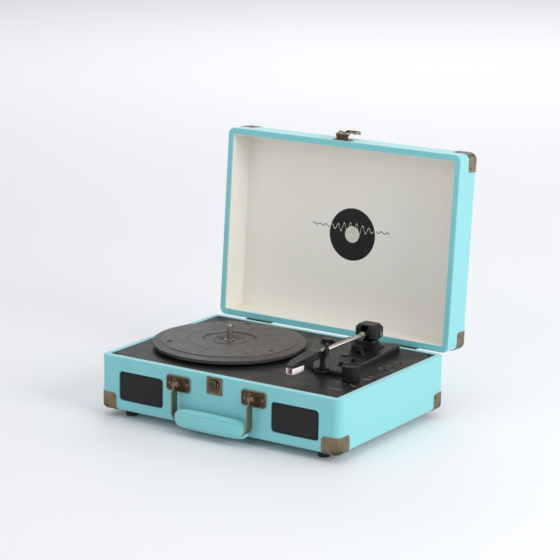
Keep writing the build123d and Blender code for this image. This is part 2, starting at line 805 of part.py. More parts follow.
with BuildPart() as spindle:
    with BuildSketch(deck_point(PLATTER_X, PLATTER_Y)):
        Circle(9.0)
    extrude(amount=2.2)
    with BuildSketch(deck_point(PLATTER_X, PLATTER_Y, SPINDLE_BOTTOM)):
        Circle(SPINDLE_SHOULDER_R)
    extrude(amount=PLATTER_TOP - SPINDLE_BOTTOM)
    with BuildSketch(deck_point(PLATTER_X, PLATTER_Y, PLATTER_TOP)):
        Circle(SPINDLE_R)
    extrude(amount=SPINDLE_TOP - PLATTER_TOP)
    tip_rim = spindle.edges().filter_by(GeomType.CIRCLE).sort_by(Axis.Z)[-1]
    fillet(tip_rim, 1.5)
save(spindle, "spindle")

with BuildPart() as spindle_fixings:
    with BuildSketch(deck_point(PLATTER_X, PLATTER_Y, NUT_TOP)):
        RegularPolygon(7.5, 6)
        Circle(SPINDLE_SHOULDER_R, mode=Mode.SUBTRACT)
    extrude(amount=-4.0)
    with BuildSketch(deck_point(PLATTER_X, PLATTER_Y, HUB_FLOOR + 0.3)):
        Circle(6.8)
        Circle(SPINDLE_SHOULDER_R, mode=Mode.SUBTRACT)
        with Locations((6.0, 0)):
            Rectangle(6.0, 4.6, mode=Mode.SUBTRACT)
    extrude(amount=0.8)
save(spindle_fixings, "spindle_fixings")

BELT_T = 0.8
BELT_GAP = 0.3
BELT_LOW = 4.0
BELT_H = 3.6


def belt_loop(extra):
    """Filled outline of the belt run, extra wide of the two rims it turns on."""
    with BuildSketch(deck_point(PLATTER_X, PLATTER_Y, BELT_LOW)) as loop:
        Circle(BELT_RIM_R + extra)
        with Locations((pulley_x - PLATTER_X, pulley_y - PLATTER_Y)):
            Circle(PULLEY_R + extra)
        make_hull()
    return loop.sketch


with BuildPart() as drive_belt:
    add(belt_loop(BELT_GAP + BELT_T))
    extrude(amount=BELT_H)
    add(belt_loop(BELT_GAP))
    extrude(amount=BELT_H, mode=Mode.SUBTRACT)
save(drive_belt, "drive_belt")

MOTOR_SHAFT_R = 1.0
MOTOR_FLANGE_TOP = -4.5
MOTOR_BOTTOM = -29.0

with BuildPart() as motor_pulley:
    with BuildSketch(deck_point(pulley_x, pulley_y, 3.2)):
        Circle(PULLEY_R)
    extrude(amount=5.0)
    for low in (3.2, 7.8):
        with BuildSketch(deck_point(pulley_x, pulley_y, low)):
            Circle(PULLEY_R + 0.9)
        extrude(amount=0.4)
    with BuildSketch(deck_point(pulley_x, pulley_y, 3.2)):
        Circle(MOTOR_SHAFT_R)
    extrude(amount=-18.0)
save(motor_pulley, "motor_pulley")

with BuildPart() as motor:
    with BuildSketch(deck_point(pulley_x, pulley_y, MOTOR_BOTTOM)):
        Circle(17.5)
    extrude(amount=MOTOR_FLANGE_TOP - 1.5 - MOTOR_BOTTOM)
    can_rims = motor.edges().filter_by(GeomType.CIRCLE).group_by(Axis.Z)[0]
    fillet(can_rims, 2.0)
    with BuildSketch(deck_point(pulley_x, pulley_y, MOTOR_FLANGE_TOP)):
        Circle(25.0)
    extrude(amount=-1.5)
    with BuildSketch(deck_point(pulley_x, pulley_y, MOTOR_FLANGE_TOP)):
        Circle(MOTOR_SHAFT_R + RUNNING_GAP)
    extrude(amount=-14.0, mode=Mode.SUBTRACT)
save(motor, "motor")

with BuildPart() as motor_mounts:
    with BuildSketch(deck_point(pulley_x, pulley_y, MOTOR_FLANGE_TOP)):
        with PolarLocations(20.5, 3, start_angle=30):
            Circle(4.0)
    extrude(amount=-DECK_T - MOTOR_FLANGE_TOP)
save(motor_mounts, "motor_mounts")

# ---------------------------------------------------------------- tonearm base

SWEEP_R = 106.0             # the base's inner edge follows the platter at this radius
POST_X = 96.5
POST_FOOT_R = 9.3
SHAFT_R = 4.0
PIVOT_BOSS_R = 19.2
SPEED_BOSS_H = 9.6
SPEED_BOSS_R = 10.5
SPEED_SHAFT_R = 3.0
SWITCH_SPOTS = [(106.0, -11.0), (111.0, 10.0)]
SWITCH_SLOT = (3.6, 11.0)
slope = (ARM_BASE_BACK_H - ARM_BASE_FRONT_H) / (ARM_BASE_BACK_Y - ARM_BASE_FRONT_Y)


def slope_height(y):
    """Height of the tonearm base's sloping top above the deck, at y from the case centre."""
    return ARM_BASE_FRONT_H + slope * (y - ARM_BASE_FRONT_Y)


def slope_plane(down=0.0):
    """The sloping top, or the plane that lies down below it."""
    origin = (0, CASE_Y + ARM_BASE_FRONT_Y, DECK_Z + ARM_BASE_FRONT_H - down)
    return Plane(origin, x_dir=(1, 0, 0), z_dir=(0, -slope, 1))


def beside_platter(angle):
    """Point on the sweep round the platter, from the case centre."""
    turn = radians(angle)
    return (PLATTER_X + SWEEP_R * cos(turn), PLATTER_Y + SWEEP_R * sin(turn))


def arm_base_block(inset, down):
    """Tonearm base outline, shrunk by inset, up to the sloping top lowered by down."""
    with BuildPart() as block:
        with BuildSketch(case_level(DECK_Z)) as outline:
            with BuildLine():
                wing = ThreePointArc(beside_platter(-2), beside_platter(17), beside_platter(36.5))
                Polyline(wing @ 1, (58, 104), (127, 104), (127, -39), (84, -39), wing @ 0)
            make_face()
            fillet(outline.vertices(), 6.0)
            with Locations((POST_X, REST_Y)):
                Circle(POST_FOOT_R + 0.8)
            if inset:
                offset(amount=-inset)
        extrude(amount=20.0)
        split(bisect_by=slope_plane(down), keep=Keep.BOTTOM)
    return block.part


with BuildPart() as arm_base:
    add(arm_base_block(0.0, 0.0))
    top_face = arm_base.faces().sort_by(Axis.Z)[-1]
    fillet(top_face.edges(), 2.0)
    add(arm_base_block(2.5, 2.2), mode=Mode.SUBTRACT)
    bosses = [
        (ARM_X, ARM_PIVOT_Y, PIVOT_BOSS_R, PIVOT_BOSS_H),
        (SPEED_X, SPEED_Y, SPEED_BOSS_R, SPEED_BOSS_H),
        (LIFT_X, LIFT_Y, LIFT_TOWER_R + 2.0, slope_height(LIFT_Y) + 0.5),
        (POST_X, REST_Y, POST_FOOT_R, slope_height(REST_Y) + 1.4),
        (90.0, 28.0, 6.5, slope_height(28.0) + 1.0),
    ]
    for x, y, radius, height in bosses:
        with BuildSketch(deck_point(x, y)):
            Circle(radius)
        extrude(amount=height)
    for x, y in BASE_SCREW_SPOTS:
        with BuildSketch(deck_point(x, y)):
            Circle(4.0)
        extrude(amount=slope_height(y) - 1.5)
        with BuildSketch(deck_point(x, y)):
            Circle(1.3)
        extrude(amount=slope_height(y) - 2.5, mode=Mode.SUBTRACT)
    with BuildSketch(deck_point(ARM_X, ARM_PIVOT_Y)):
        Circle(SHAFT_R + RUNNING_GAP)
    extrude(amount=PIVOT_BOSS_H, mode=Mode.SUBTRACT)
    with BuildSketch(deck_point(SPEED_X, SPEED_Y, 1.0)):
        Circle(SPEED_SHAFT_R + RUNNING_GAP)
    extrude(amount=SPEED_BOSS_H, mode=Mode.SUBTRACT)
    with BuildSketch(deck_point(LIFT_X, LIFT_Y)):
        Circle(4.0)
    extrude(amount=20.0, mode=Mode.SUBTRACT)
    for x, y in SWITCH_SPOTS:
        with BuildSketch(deck_point(x, y, 2.0)):
            Rectangle(*SWITCH_SLOT)
        extrude(amount=10.0, mode=Mode.SUBTRACT)
save(arm_base, "arm_base")

with BuildPart() as arm_base_screws:
    for x, y in BASE_SCREW_SPOTS:
        with BuildSketch(deck_point(x, y, -DECK_T)):
            Circle(2.8)
        extrude(amount=-1.6)
        with BuildSketch(deck_point(x, y, -DECK_T)):
            Circle(1.3)
        extrude(amount=DECK_T + slope_height(y) - 3.5)
save(arm_base_screws, "arm_base_screws")


def turned(name, x, y, outline):
    """Solid of revolution standing on the deck at x, y; outline is (radius, height) points."""
    axis_y = CASE_Y + y
    with BuildPart() as solid:
        with BuildSketch(Plane((x, axis_y, DECK_Z), x_dir=(1, 0, 0), z_dir=(0, -1, 0))):
            with BuildLine():
                Polyline(*outline, close=True)
            make_face()
        revolve(axis=Axis((x, axis_y, 0), (0, 0, 1)))
    save(solid, name)


COLLAR_TOP = 18.2

turned("pivot_collar", ARM_X, ARM_PIVOT_Y, [
    (SHAFT_R + 0.5, PIVOT_BOSS_H),
    (18.0, PIVOT_BOSS_H),
    (18.0, PIVOT_BOSS_H + 0.8),
    (15.0, 12.4),
    (11.5, 15.4),
    (9.8, COLLAR_TOP),
    (SHAFT_R + 0.5, COLLAR_TOP),
])

# ---------------------------------------------------------------- arm rest

SEAT_TOP = ARM_UP - TUBE_R - 0.3
CLIP_X = 101.6
CLIP_UP = 31.2
CLIP_W = 5.0
CLIP_PIN_R = 0.8
post_foot_h = slope_height(REST_Y) + 1.4

with BuildPart() as rest_post:
    with BuildSketch(deck_point(POST_X, REST_Y, post_foot_h)):
        Circle(POST_FOOT_R - 1.0)
    extrude(amount=1.0)
    with BuildSketch(deck_point(POST_X, REST_Y, post_foot_h)):
        Circle(4.6)
    extrude(amount=3.0)
    with BuildSketch(deck_point(POST_X, REST_Y, post_foot_h)):
        Circle(3.2)
    extrude(amount=SEAT_TOP - 3.0 - post_foot_h)
    with BuildSketch(Plane((0, CASE_Y + REST_Y + 4.0, DECK_Z), x_dir=(1, 0, 0), z_dir=(0, -1, 0))):
        with BuildLine():
            Polyline(
                (91.0, SEAT_TOP),
                (98.4, SEAT_TOP),
                (99.2, CLIP_UP - 2.6),
                (103.0, CLIP_UP - 2.6),
                (103.0, SEAT_TOP - 2.0),
                (99.5, SEAT_TOP - 5.0),
                (93.5, SEAT_TOP - 5.0),
                (91.0, SEAT_TOP - 2.5),
                close=True,
            )
        make_face()
    extrude(amount=8.0)
    for low in (-4.0, CLIP_W / 2 + 0.3):
        with BuildSketch(Plane((0, CASE_Y + REST_Y - low, DECK_Z), x_dir=(1, 0, 0), z_dir=(0, -1, 0))):
            with Locations((CLIP_X, CLIP_UP)):
                Circle(1.5)
            with Locations((CLIP_X, CLIP_UP - 2.0)):
                Rectangle(3.0, 4.0)
        extrude(amount=1.2)
    with BuildSketch(Plane((CLIP_X, CASE_Y + REST_Y + 4.0, DECK_Z + CLIP_UP), z_dir=(0, -1, 0))):
        Circle(CLIP_PIN_R)
    extrude(amount=8.0)
save(rest_post, "rest_post")

with BuildPart() as rest_clip:
    clip_plane = Plane(
        (CLIP_X, CASE_Y + REST_Y + CLIP_W / 2, DECK_Z + CLIP_UP),
        x_dir=(1, 0, 0),
        z_dir=(0, -1, 0),
    )
    with BuildSketch(clip_plane):
        Circle(1.5)
        with Locations((0.6, 4.0)):
            Rectangle(1.6, 8.0)
        with Locations((-0.1, 7.4)):
            Rectangle(1.0, 1.2)
        Circle(CLIP_PIN_R + RUNNING_GAP, mode=Mode.SUBTRACT)
    extrude(amount=CLIP_W)
save(rest_clip, "rest_clip")

# ---------------------------------------------------------------- arm lift and its lever

BAR_BOTTOM = 18.6
BAR_TOP = 21.2
BAR_R = 26.5                # radius of the lift bar about the arm pivot
BAR_W = 4.0
STEM_R = 2.0
CUE_TURN = radians(-42.7)   # direction of the cue lever in plan
CUE_REACH = 11.4
CUE_LENGTH = 24.0
CUE_UP = 11.6
CUE_PIN_R = 1.0
CUE_DIRECTION = (cos(CUE_TURN), sin(CUE_TURN), 0)
CUE_AXIS = (sin(CUE_TURN), -cos(CUE_TURN), 0)
cue_x = LIFT_X + CUE_REACH * cos(CUE_TURN)
cue_y = LIFT_Y + CUE_REACH * sin(CUE_TURN)
CUE_PLANE = Plane(
    (cue_x, CASE_Y + cue_y, DECK_Z + CUE_UP),
    x_dir=CUE_DIRECTION,
    z_dir=CUE_AXIS,
)

with BuildPart() as lift_tower:
    tower_foot = slope_height(LIFT_Y) + 0.5
    with BuildSketch(deck_point(LIFT_X, LIFT_Y, tower_foot)):
        Circle(LIFT_TOWER_R)
    extrude(amount=LIFT_TOWER_H - tower_foot)
    tower_rim = lift_tower.edges().filter_by(GeomType.CIRCLE).sort_by(Axis.Z)[-1]
    chamfer(tower_rim, 1.2)
    for middle in (-2.9, 2.9):
        with BuildSketch(CUE_PLANE.offset(middle)):
            Circle(2.0)
            with Locations((-3.0, 0)):
                Rectangle(6.0, 4.0)
        extrude(amount=0.6, both=True)
    with BuildSketch(CUE_PLANE):
        Circle(CUE_PIN_R)
    extrude(amount=3.8, both=True)
    with BuildSketch(deck_point(LIFT_X, LIFT_Y, tower_foot)):
        Circle(STEM_R + RUNNING_GAP)
    extrude(amount=LIFT_TOWER_H, mode=Mode.SUBTRACT)
save(lift_tower, "lift_tower")

with BuildPart() as cue_lever:
    with BuildSketch(CUE_PLANE):
        with BuildLine():
            Polyline(
                (0.0, -1.6),
                (0.0, 1.6),
                (CUE_LENGTH - 6.0, -1.4),
                (CUE_LENGTH, -1.2),
                (CUE_LENGTH, -3.2),
                (CUE_LENGTH - 7.0, -3.0),
                close=True,
            )
        make_face()
        Circle(1.9)
        Circle(CUE_PIN_R + RUNNING_GAP, mode=Mode.SUBTRACT)
    extrude(amount=1.9, both=True)
save(cue_lever, "cue_lever")

with BuildPart() as lift_bar:
    with BuildSketch(deck_point(ARM_X, ARM_PIVOT_Y, BAR_BOTTOM)):
        Circle(BAR_R + BAR_W / 2)
        Circle(BAR_R - BAR_W / 2, mode=Mode.SUBTRACT)
        with BuildLine():
            far = 60.0
            Polyline(
                (0, 0),
                (far * sin(radians(7)), -far * cos(radians(7))),
                (-far * sin(radians(30)), -far * cos(radians(30)) - 20.0),
                (-far * sin(radians(52)), -far * cos(radians(52))),
                close=True,
            )
        make_face(mode=Mode.INTERSECT)
        with Locations((LIFT_X - ARM_X, LIFT_Y - ARM_PIVOT_Y)):
            Circle(3.4)
    extrude(amount=BAR_TOP - BAR_BOTTOM)
    with BuildSketch(deck_point(LIFT_X, LIFT_Y, 9.6)):
        Circle(STEM_R)
    extrude(amount=BAR_BOTTOM - 9.6)
save(lift_bar, "lift_bar")

# ---------------------------------------------------------------- tonearm

HOUSING_W = 30.0
HOUSING_BACK = 10.0
HOUSING_FRONT = 16.5
HOUSING_LOW = 19.0
HOUSING_HIGH = 39.5
HOUSING_T = 1.8
HOUSING_CUT = 4.2
GIMBAL_R = 1.5
COLLAR_R = 4.5
COLLAR_END = 22.0           # front of the tube's collar, ahead of the pivot
TUBE_SEAT = 3.0             # tube length inside the headshell
housing_depth = HOUSING_BACK + HOUSING_FRONT
housing_y = ARM_PIVOT_Y + (HOUSING_BACK - HOUSING_FRONT) / 2
ARM_FRONT = Plane(
    (ARM_X, CASE_Y + ARM_PIVOT_Y, DECK_Z + ARM_UP),
    x_dir=(1, 0, 0),
    z_dir=(0, -1, 0),
)
ARM_SIDE = Plane(
    (ARM_X, CASE_Y + ARM_PIVOT_Y, DECK_Z + ARM_UP),
    x_dir=(0, 1, 0),
    z_dir=(1, 0, 0),
)


def housing_block(inset):
    """Eight-sided tonearm housing with cut top and bottom edges, shrunk by inset all round."""
    with BuildPart() as block:
        with BuildSketch(deck_point(ARM_X, housing_y, HOUSING_LOW + inset)) as plan:
            Rectangle(HOUSING_W - 2 * inset, housing_depth - 2 * inset)
            chamfer(plan.vertices(), HOUSING_CUT)
        extrude(amount=HOUSING_HIGH - HOUSING_LOW - 2 * inset)
        top_face = block.faces().sort_by(Axis.Z)[-1]
        chamfer(top_face.edges(), HOUSING_CUT)
        bottom_face = block.faces().sort_by(Axis.Z)[0]
        chamfer(bottom_face.edges(), HOUSING_CUT)
    return block.part


with BuildPart() as arm_housing:
    add(housing_block(0.0))
    add(housing_block(HOUSING_T), mode=Mode.SUBTRACT)
    with BuildSketch(ARM_FRONT.offset(HOUSING_FRONT)):
        with Locations((0, 2.7)):
            Rectangle(10.4, 15.4)
    extrude(amount=-HOUSING_T - HOUSING_CUT, mode=Mode.SUBTRACT)
    with BuildSketch(ARM_SIDE.offset(-HOUSING_W / 2)):
        Circle(GIMBAL_R)
    extrude(amount=HOUSING_W, mode=Mode.SUBTRACT)
    with BuildSketch(deck_point(ARM_X, ARM_PIVOT_Y, HOUSING_LOW)):
        Circle(SHAFT_R)
    extrude(amount=HOUSING_T, mode=Mode.SUBTRACT)
save(arm_housing, "arm_housing")

with BuildPart() as arm_pivot_shaft:
    with BuildSketch(deck_point(ARM_X, ARM_PIVOT_Y, -9.0)):
        Circle(SHAFT_R)
    extrude(amount=HOUSING_LOW + HOUSING_T + 9.0)
    with BuildSketch(deck_point(ARM_X, ARM_PIVOT_Y, -4.4)):
        Circle(SHAFT_R + 3.5)
    extrude(amount=1.4)
save(arm_pivot_shaft, "arm_pivot_shaft")

with BuildPart() as gimbal_screws:
    for side in (-1, 1):
        with BuildSketch(ARM_SIDE.offset(side * HOUSING_W / 2)):
            Circle(GIMBAL_R)
        extrude(amount=-side * (HOUSING_W / 2 - 3.0))
        with BuildSketch(ARM_SIDE.offset(side * HOUSING_W / 2)):
            Circle(3.0)
            Rectangle(0.8, 6.0, mode=Mode.SUBTRACT)
        extrude(amount=side * 1.2)
        with BuildSketch(ARM_SIDE.offset(side * HOUSING_W / 2)):
            Circle(3.0)
        extrude(amount=side * 0.5)
save(gimbal_screws, "gimbal_screws")

with BuildPart() as arm_tube:
    with BuildSketch(ARM_FRONT.offset(-1.5)):
        Rectangle(10.0, 9.0)
    extrude(amount=6.0)
    with BuildSketch(ARM_FRONT.offset(2.0)):
        Circle(TUBE_R)
    extrude(amount=ARM_PIVOT_Y - SHELL_REAR_Y + TUBE_SEAT - 2.0)
    with BuildSketch(ARM_FRONT.offset(HOUSING_FRONT + 0.6)):
        Circle(COLLAR_R)
    extrude(amount=COLLAR_END - HOUSING_FRONT - 0.6)
    for side in (-1, 1):
        with BuildSketch(ARM_SIDE.offset(side * 5.0)):
            Circle(GIMBAL_R + RUNNING_GAP)
        extrude(amount=-side * 2.3, mode=Mode.SUBTRACT)
save(arm_tube, "arm_tube")

WEIGHT_W = 13.0

with BuildPart() as counterweight:
    with BuildSketch(ARM_SIDE.offset(-WEIGHT_W / 2)):
        with Locations((3.5, 0)):
            Rectangle(4.0, 7.0)
    extrude(amount=WEIGHT_W)
save(counterweight, "counterweight")

SHELL_PLAN = [
    (-4.0, SHELL_REAR_Y),
    (-7.4, SHELL_REAR_Y - 12.0),
    (-6.6, SHELL_TIP_Y + 14.0),
    (-4.4, SHELL_TIP_Y),
    (4.4, SHELL_TIP_Y),
    (6.6, SHELL_TIP_Y + 14.0),
    (7.4, SHELL_REAR_Y - 12.0),
    (4.0, SHELL_REAR_Y),
]
SHELL_SIDE = [
    (SHELL_REAR_Y, 31.6),
    (SHELL_REAR_Y - 14.0, 32.4),
    (SHELL_TIP_Y + 12.0, 29.0),
    (SHELL_TIP_Y, 25.6),
    (SHELL_TIP_Y, 23.4),
    (SHELL_REAR_Y - 40.0, 22.4),
    (SHELL_REAR_Y - 12.0, 22.4),
    (SHELL_REAR_Y, 23.6),
]

with BuildPart() as headshell:
    with BuildSketch(deck_point(ARM_X, 0, 20.0)):
        with BuildLine():
            Polyline(*SHELL_PLAN, close=True)
        make_face()
    extrude(amount=15.0)
    with BuildSketch(Plane((ARM_X, CASE_Y, DECK_Z), x_dir=(0, 1, 0), z_dir=(1, 0, 0))):
        with BuildLine():
            Polyline(*SHELL_SIDE, close=True)
        make_face()
    extrude(amount=10.0, both=True, mode=Mode.INTERSECT)
    with BuildSketch(ARM_FRONT.offset(ARM_PIVOT_Y - SHELL_REAR_Y)):
        Circle(TUBE_R)
    extrude(amount=TUBE_SEAT, mode=Mode.SUBTRACT)
save(headshell, "headshell")

CARTRIDGE_TOP = 22.4
GUARD_REAR_Y = -85.0
GUARD_FRONT_Y = -111.0
GUARD_LOW = 13.3
STYLUS_Y = -104.0


def arm_box(low, high):
    """Box under the headshell between two (x, y, up) corners; x is from the arm's centre line."""
    middle_x = (low[0] + high[0]) / 2
    middle_y = (low[1] + high[1]) / 2
    with BuildPart() as block:
        with BuildSketch(deck_point(ARM_X + middle_x, middle_y, low[2])):
            Rectangle(high[0] - low[0], high[1] - low[1])
        extrude(amount=high[2] - low[2])
    return block.part


with BuildPart() as cartridge:
    add(arm_box((-5.5, -84.4, 15.4), (5.5, -64.0, CARTRIDGE_TOP)))
    long_edges = cartridge.edges().filter_by(Axis.Y).group_by(Axis.Z)[0]
    fillet(long_edges, 1.2)
    add(arm_box((-3.4, -92.0, 16.4), (3.4, -84.4, CARTRIDGE_TOP)))
save(cartridge, "cartridge")

with BuildPart() as cartridge_pins:
    for x in (-3.6, -1.2, 1.2, 3.6):
        add(arm_box((x - 0.4, -64.0, 18.0), (x + 0.4, -59.5, 18.8)))
save(cartridge_pins, "cartridge_pins")

with BuildPart() as stylus:
    add(arm_box((-1.4, -106.0, 15.9), (1.4, -92.0, 17.9)))
    with BuildSketch(deck_point(ARM_X, STYLUS_Y, 15.9)):
        Circle(0.6)
    extrude(amount=-1.2, taper=20)
save(stylus, "stylus")

with BuildPart() as stylus_guard:
    add(arm_box((-5.0, GUARD_FRONT_Y, GUARD_LOW), (5.0, GUARD_REAR_Y, 22.0)))
    low_edges = stylus_guard.edges().filter_by(Axis.Y).group_by(Axis.Z)[0]
    fillet(low_edges, 1.6)
    with BuildSketch(Plane((ARM_X, CASE_Y + GUARD_REAR_Y, DECK_Z), x_dir=(1, 0, 0), z_dir=(0, -1, 0))):
        with Locations((0, 14.4 + 10.0)):
            RectangleRounded(7.4, 20.0, 1.0)
    extrude(amount=GUARD_REAR_Y - GUARD_FRONT_Y, mode=Mode.SUBTRACT)
save(stylus_guard, "stylus_guard")

# ---------------------------------------------------------------- deck controls

with BuildPart() as speed_selector:
    with BuildSketch(deck_point(SPEED_X, SPEED_Y, SPEED_BOSS_H + 0.3)):
        Ellipse(9.0, 6.0)
    extrude(amount=3.0)
    knob_top = speed_selector.faces().sort_by(Axis.Z)[-1]
    fillet(knob_top.edges(), 1.0)
    with BuildSketch(deck_point(SPEED_X, SPEED_Y, 1.4)):
        Circle(SPEED_SHAFT_R)
    extrude(amount=SPEED_BOSS_H - 1.0)
save(speed_selector, "speed_selector")


def slide_switch(name, x, y):
    """Small slide switch: cap above the sloping top, neck through its slot, shoe below."""
    top = slope_height(y) + 0.5
    with BuildPart() as switch:
        neck_y = y + SWITCH_SLOT[1] / 2 - 2.3
        with BuildSketch(deck_point(x, neck_y, top)):
            RectangleRounded(5.0, 4.4, 1.2)
        extrude(amount=2.6)
        with BuildSketch(deck_point(x, neck_y, 2.2)):
            Rectangle(3.0, 3.6)
        extrude(amount=top - 2.2)
        with BuildSketch(deck_point(x, neck_y, 1.0)):
            Rectangle(7.0, 4.4)
        extrude(amount=1.4)
    save(switch, name)


slide_switch("stop_switch", *SWITCH_SPOTS[0])
slide_switch("mode_switch", *SWITCH_SPOTS[1])

FLUTES = 24
POT_SHAFT_R = 2.5

with BuildPart() as volume_knob:
    with BuildSketch(deck_point(VOLUME_X, VOLUME_Y, 1.6)):
        Circle(VOLUME_R)
        with PolarLocations(VOLUME_R + 0.35, FLUTES):
            Circle(0.9, mode=Mode.SUBTRACT)
    extrude(amount=VOLUME_H - 1.6)
    with BuildSketch(deck_point(VOLUME_X, VOLUME_Y, VOLUME_H - 0.8)):
        Circle(VOLUME_R - 1.8)
    extrude(amount=0.8, mode=Mode.SUBTRACT)
    with BuildSketch(deck_point(VOLUME_X, VOLUME_Y, VOLUME_H - 0.8)):
        with Locations((0, VOLUME_R - 3.6)):
            Rectangle(1.0, 3.0)
    extrude(amount=0.6)
    with BuildSketch(deck_point(VOLUME_X, VOLUME_Y, 1.6)):
        Circle(POT_SHAFT_R)
    extrude(amount=-9.0)
save(volume_knob, "volume_knob")

with BuildPart() as volume_pot:
    with BuildSketch(deck_point(VOLUME_X, VOLUME_Y, -DECK_T)):
        RectangleRounded(17.0, 17.0, 2.0)
    extrude(amount=-8.0)
    with BuildSketch(deck_point(VOLUME_X, VOLUME_Y, -DECK_T)):
        Circle(3.5)
    extrude(amount=DECK_T + 1.0)
    with BuildSketch(deck_point(VOLUME_X, VOLUME_Y, 1.0)):
        Circle(POT_SHAFT_R + RUNNING_GAP)
    extrude(amount=-9.0, mode=Mode.SUBTRACT)
save(volume_pot, "volume_pot")

JACK_DEPTH = 14.0

with BuildPart() as deck_jacks:
    for jack_y in JACK_YS:
        with BuildSketch(deck_point(JACK_X, jack_y, 0.4)):
            Circle(JACK_BUSH_R - 0.05)
        extrude(amount=-0.4 - DECK_T)
        with BuildSketch(deck_point(JACK_X, jack_y, -DECK_T)):
            Circle(4.2)
        extrude(amount=-JACK_DEPTH)
        with BuildSketch(deck_point(JACK_X, jack_y, 0.4)):
            Circle(JACK_BORE_R)
        extrude(amount=-JACK_DEPTH, mode=Mode.SUBTRACT)
save(deck_jacks, "deck_jacks")

# ---------------------------------------------------------------- electronics

with BuildPart() as dc_jack:
    with BuildSketch(BACK):
        with Locations((-POWER_X, BASE_Z + POWER_UP)):
            Circle(7.0)
    extrude(amount=1.0)
    with BuildSketch(BACK):
        with Locations((-POWER_X, BASE_Z + POWER_UP)):
            Circle(POWER_R - 0.05)
    extrude(amount=-13.0)
    with BuildSketch(BACK.offset(1.0)):
        with Locations((-POWER_X, BASE_Z + POWER_UP)):
            Circle(3.2)
            Circle(1.05, mode=Mode.SUBTRACT)
    extrude(amount=-10.0, mode=Mode.SUBTRACT)
save(dc_jack, "dc_jack")

BOARD_X = 62.0
BOARD_Y = 15.0
BOARD_W = 90.0
BOARD_D = 60.0
BOARD_Z = BASE_Z + CASE_FLOOR + 6.0
BOARD_T = 1.6

with BuildPart() as board_standoffs:
    with BuildSketch(case_level(BASE_Z + CASE_FLOOR)):
        with Locations((BOARD_X, BOARD_Y)):
            with GridLocations(BOARD_W - 10, BOARD_D - 10, 2, 2):
                Circle(3.0)
    extrude(amount=BOARD_Z - BASE_Z - CASE_FLOOR)
save(board_standoffs, "board_standoffs")

with BuildPart() as amp_board:
    with BuildSketch(case_level(BOARD_Z)):
        with Locations((BOARD_X, BOARD_Y)):
            Rectangle(BOARD_W, BOARD_D)
    extrude(amount=BOARD_T)
save(amp_board, "amp_board")

with BuildPart() as board_parts:
    board_top = BOARD_Z + BOARD_T
    with BuildSketch(case_level(board_top)):
        with Locations((BOARD_X - 25, BOARD_Y + 12), (BOARD_X - 25, BOARD_Y - 2)):
            Circle(5.0)
    extrude(amount=16.0)
    with BuildSketch(case_level(board_top)):
        with Locations((BOARD_X, BOARD_Y - 8)):
            Rectangle(12.0, 12.0)
        with Locations((BOARD_X + 20, BOARD_Y + 14)):
            Rectangle(8.0, 5.0)
    extrude(amount=2.4)
    with BuildSketch(case_level(board_top)):
        with Locations((BOARD_X - 4, BOARD_Y + 22), (BOARD_X + 16, BOARD_Y + 22)):
            Rectangle(14.0, 6.0)
        with Locations((BOARD_X + 28, BOARD_Y - 10)):
            Rectangle(4.0, 24.0)
    extrude(amount=9.0)
save(board_parts, "board_parts")
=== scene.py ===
import json
from math import cos, exp, pi, radians, sin

import bpy
from mathutils import Matrix, Vector


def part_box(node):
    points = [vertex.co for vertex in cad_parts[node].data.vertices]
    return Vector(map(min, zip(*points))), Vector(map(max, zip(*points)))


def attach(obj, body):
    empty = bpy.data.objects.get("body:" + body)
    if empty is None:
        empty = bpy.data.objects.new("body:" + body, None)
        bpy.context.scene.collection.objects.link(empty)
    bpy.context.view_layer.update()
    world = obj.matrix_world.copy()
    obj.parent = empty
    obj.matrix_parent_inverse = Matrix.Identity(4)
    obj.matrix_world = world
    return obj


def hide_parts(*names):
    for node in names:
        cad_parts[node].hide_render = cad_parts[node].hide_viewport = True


# Suitcase record player with its lid open. Metres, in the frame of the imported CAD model.

with open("model.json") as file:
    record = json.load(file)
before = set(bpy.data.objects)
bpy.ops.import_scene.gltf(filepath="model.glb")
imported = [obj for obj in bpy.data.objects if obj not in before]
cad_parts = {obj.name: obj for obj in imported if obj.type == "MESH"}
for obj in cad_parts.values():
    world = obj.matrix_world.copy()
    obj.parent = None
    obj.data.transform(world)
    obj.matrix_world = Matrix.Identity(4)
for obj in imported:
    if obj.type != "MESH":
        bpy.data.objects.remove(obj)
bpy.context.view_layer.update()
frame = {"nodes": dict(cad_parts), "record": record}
nodes = frame["nodes"]
MM = 0.001


# ---------------------------------------------------------------- camera

CAMERA_AT = Vector((1.4517, -2.2553, 0.8107))
CAMERA_LOOKS = Vector((-0.52889, 0.81637, -0.23198))
CAMERA_ROLL = radians(0.894)
CAMERA_LENS = 139.6         # millimetres, as is the sensor's width
SENSOR_WIDTH = 36.0


def make_camera():
    """Camera at CAMERA_AT that looks along CAMERA_LOOKS, rolled a little about that line."""
    data = bpy.data.cameras.new("camera")
    data.lens = CAMERA_LENS
    data.sensor_width = SENSOR_WIDTH
    camera = bpy.data.objects.new("camera", data)
    level_right = CAMERA_LOOKS.cross(Vector((0, 0, 1))).normalized()
    level_up = level_right.cross(CAMERA_LOOKS).normalized()
    right = level_right * cos(CAMERA_ROLL) + level_up * sin(CAMERA_ROLL)
    up = right.cross(CAMERA_LOOKS).normalized()
    turn = Matrix((right, up, -CAMERA_LOOKS.normalized())).transposed()
    camera.matrix_world = Matrix.Translation(CAMERA_AT) @ turn.to_4x4()
    bpy.context.collection.objects.link(camera)
    bpy.context.scene.camera = camera


make_camera()


# ---------------------------------------------------------------- material tools

WAVE_PERIOD = 0.314         # metres between the bands of a wave texture whose scale is 1


def srgb(text):
    """Linear colour from a six-figure hex colour."""
    values = [int(text[i:i + 2], 16) / 255 for i in (0, 2, 4)]
    return [v / 12.92 if v <= 0.04045 else ((v + 0.055) / 1.055) ** 2.4 for v in values]


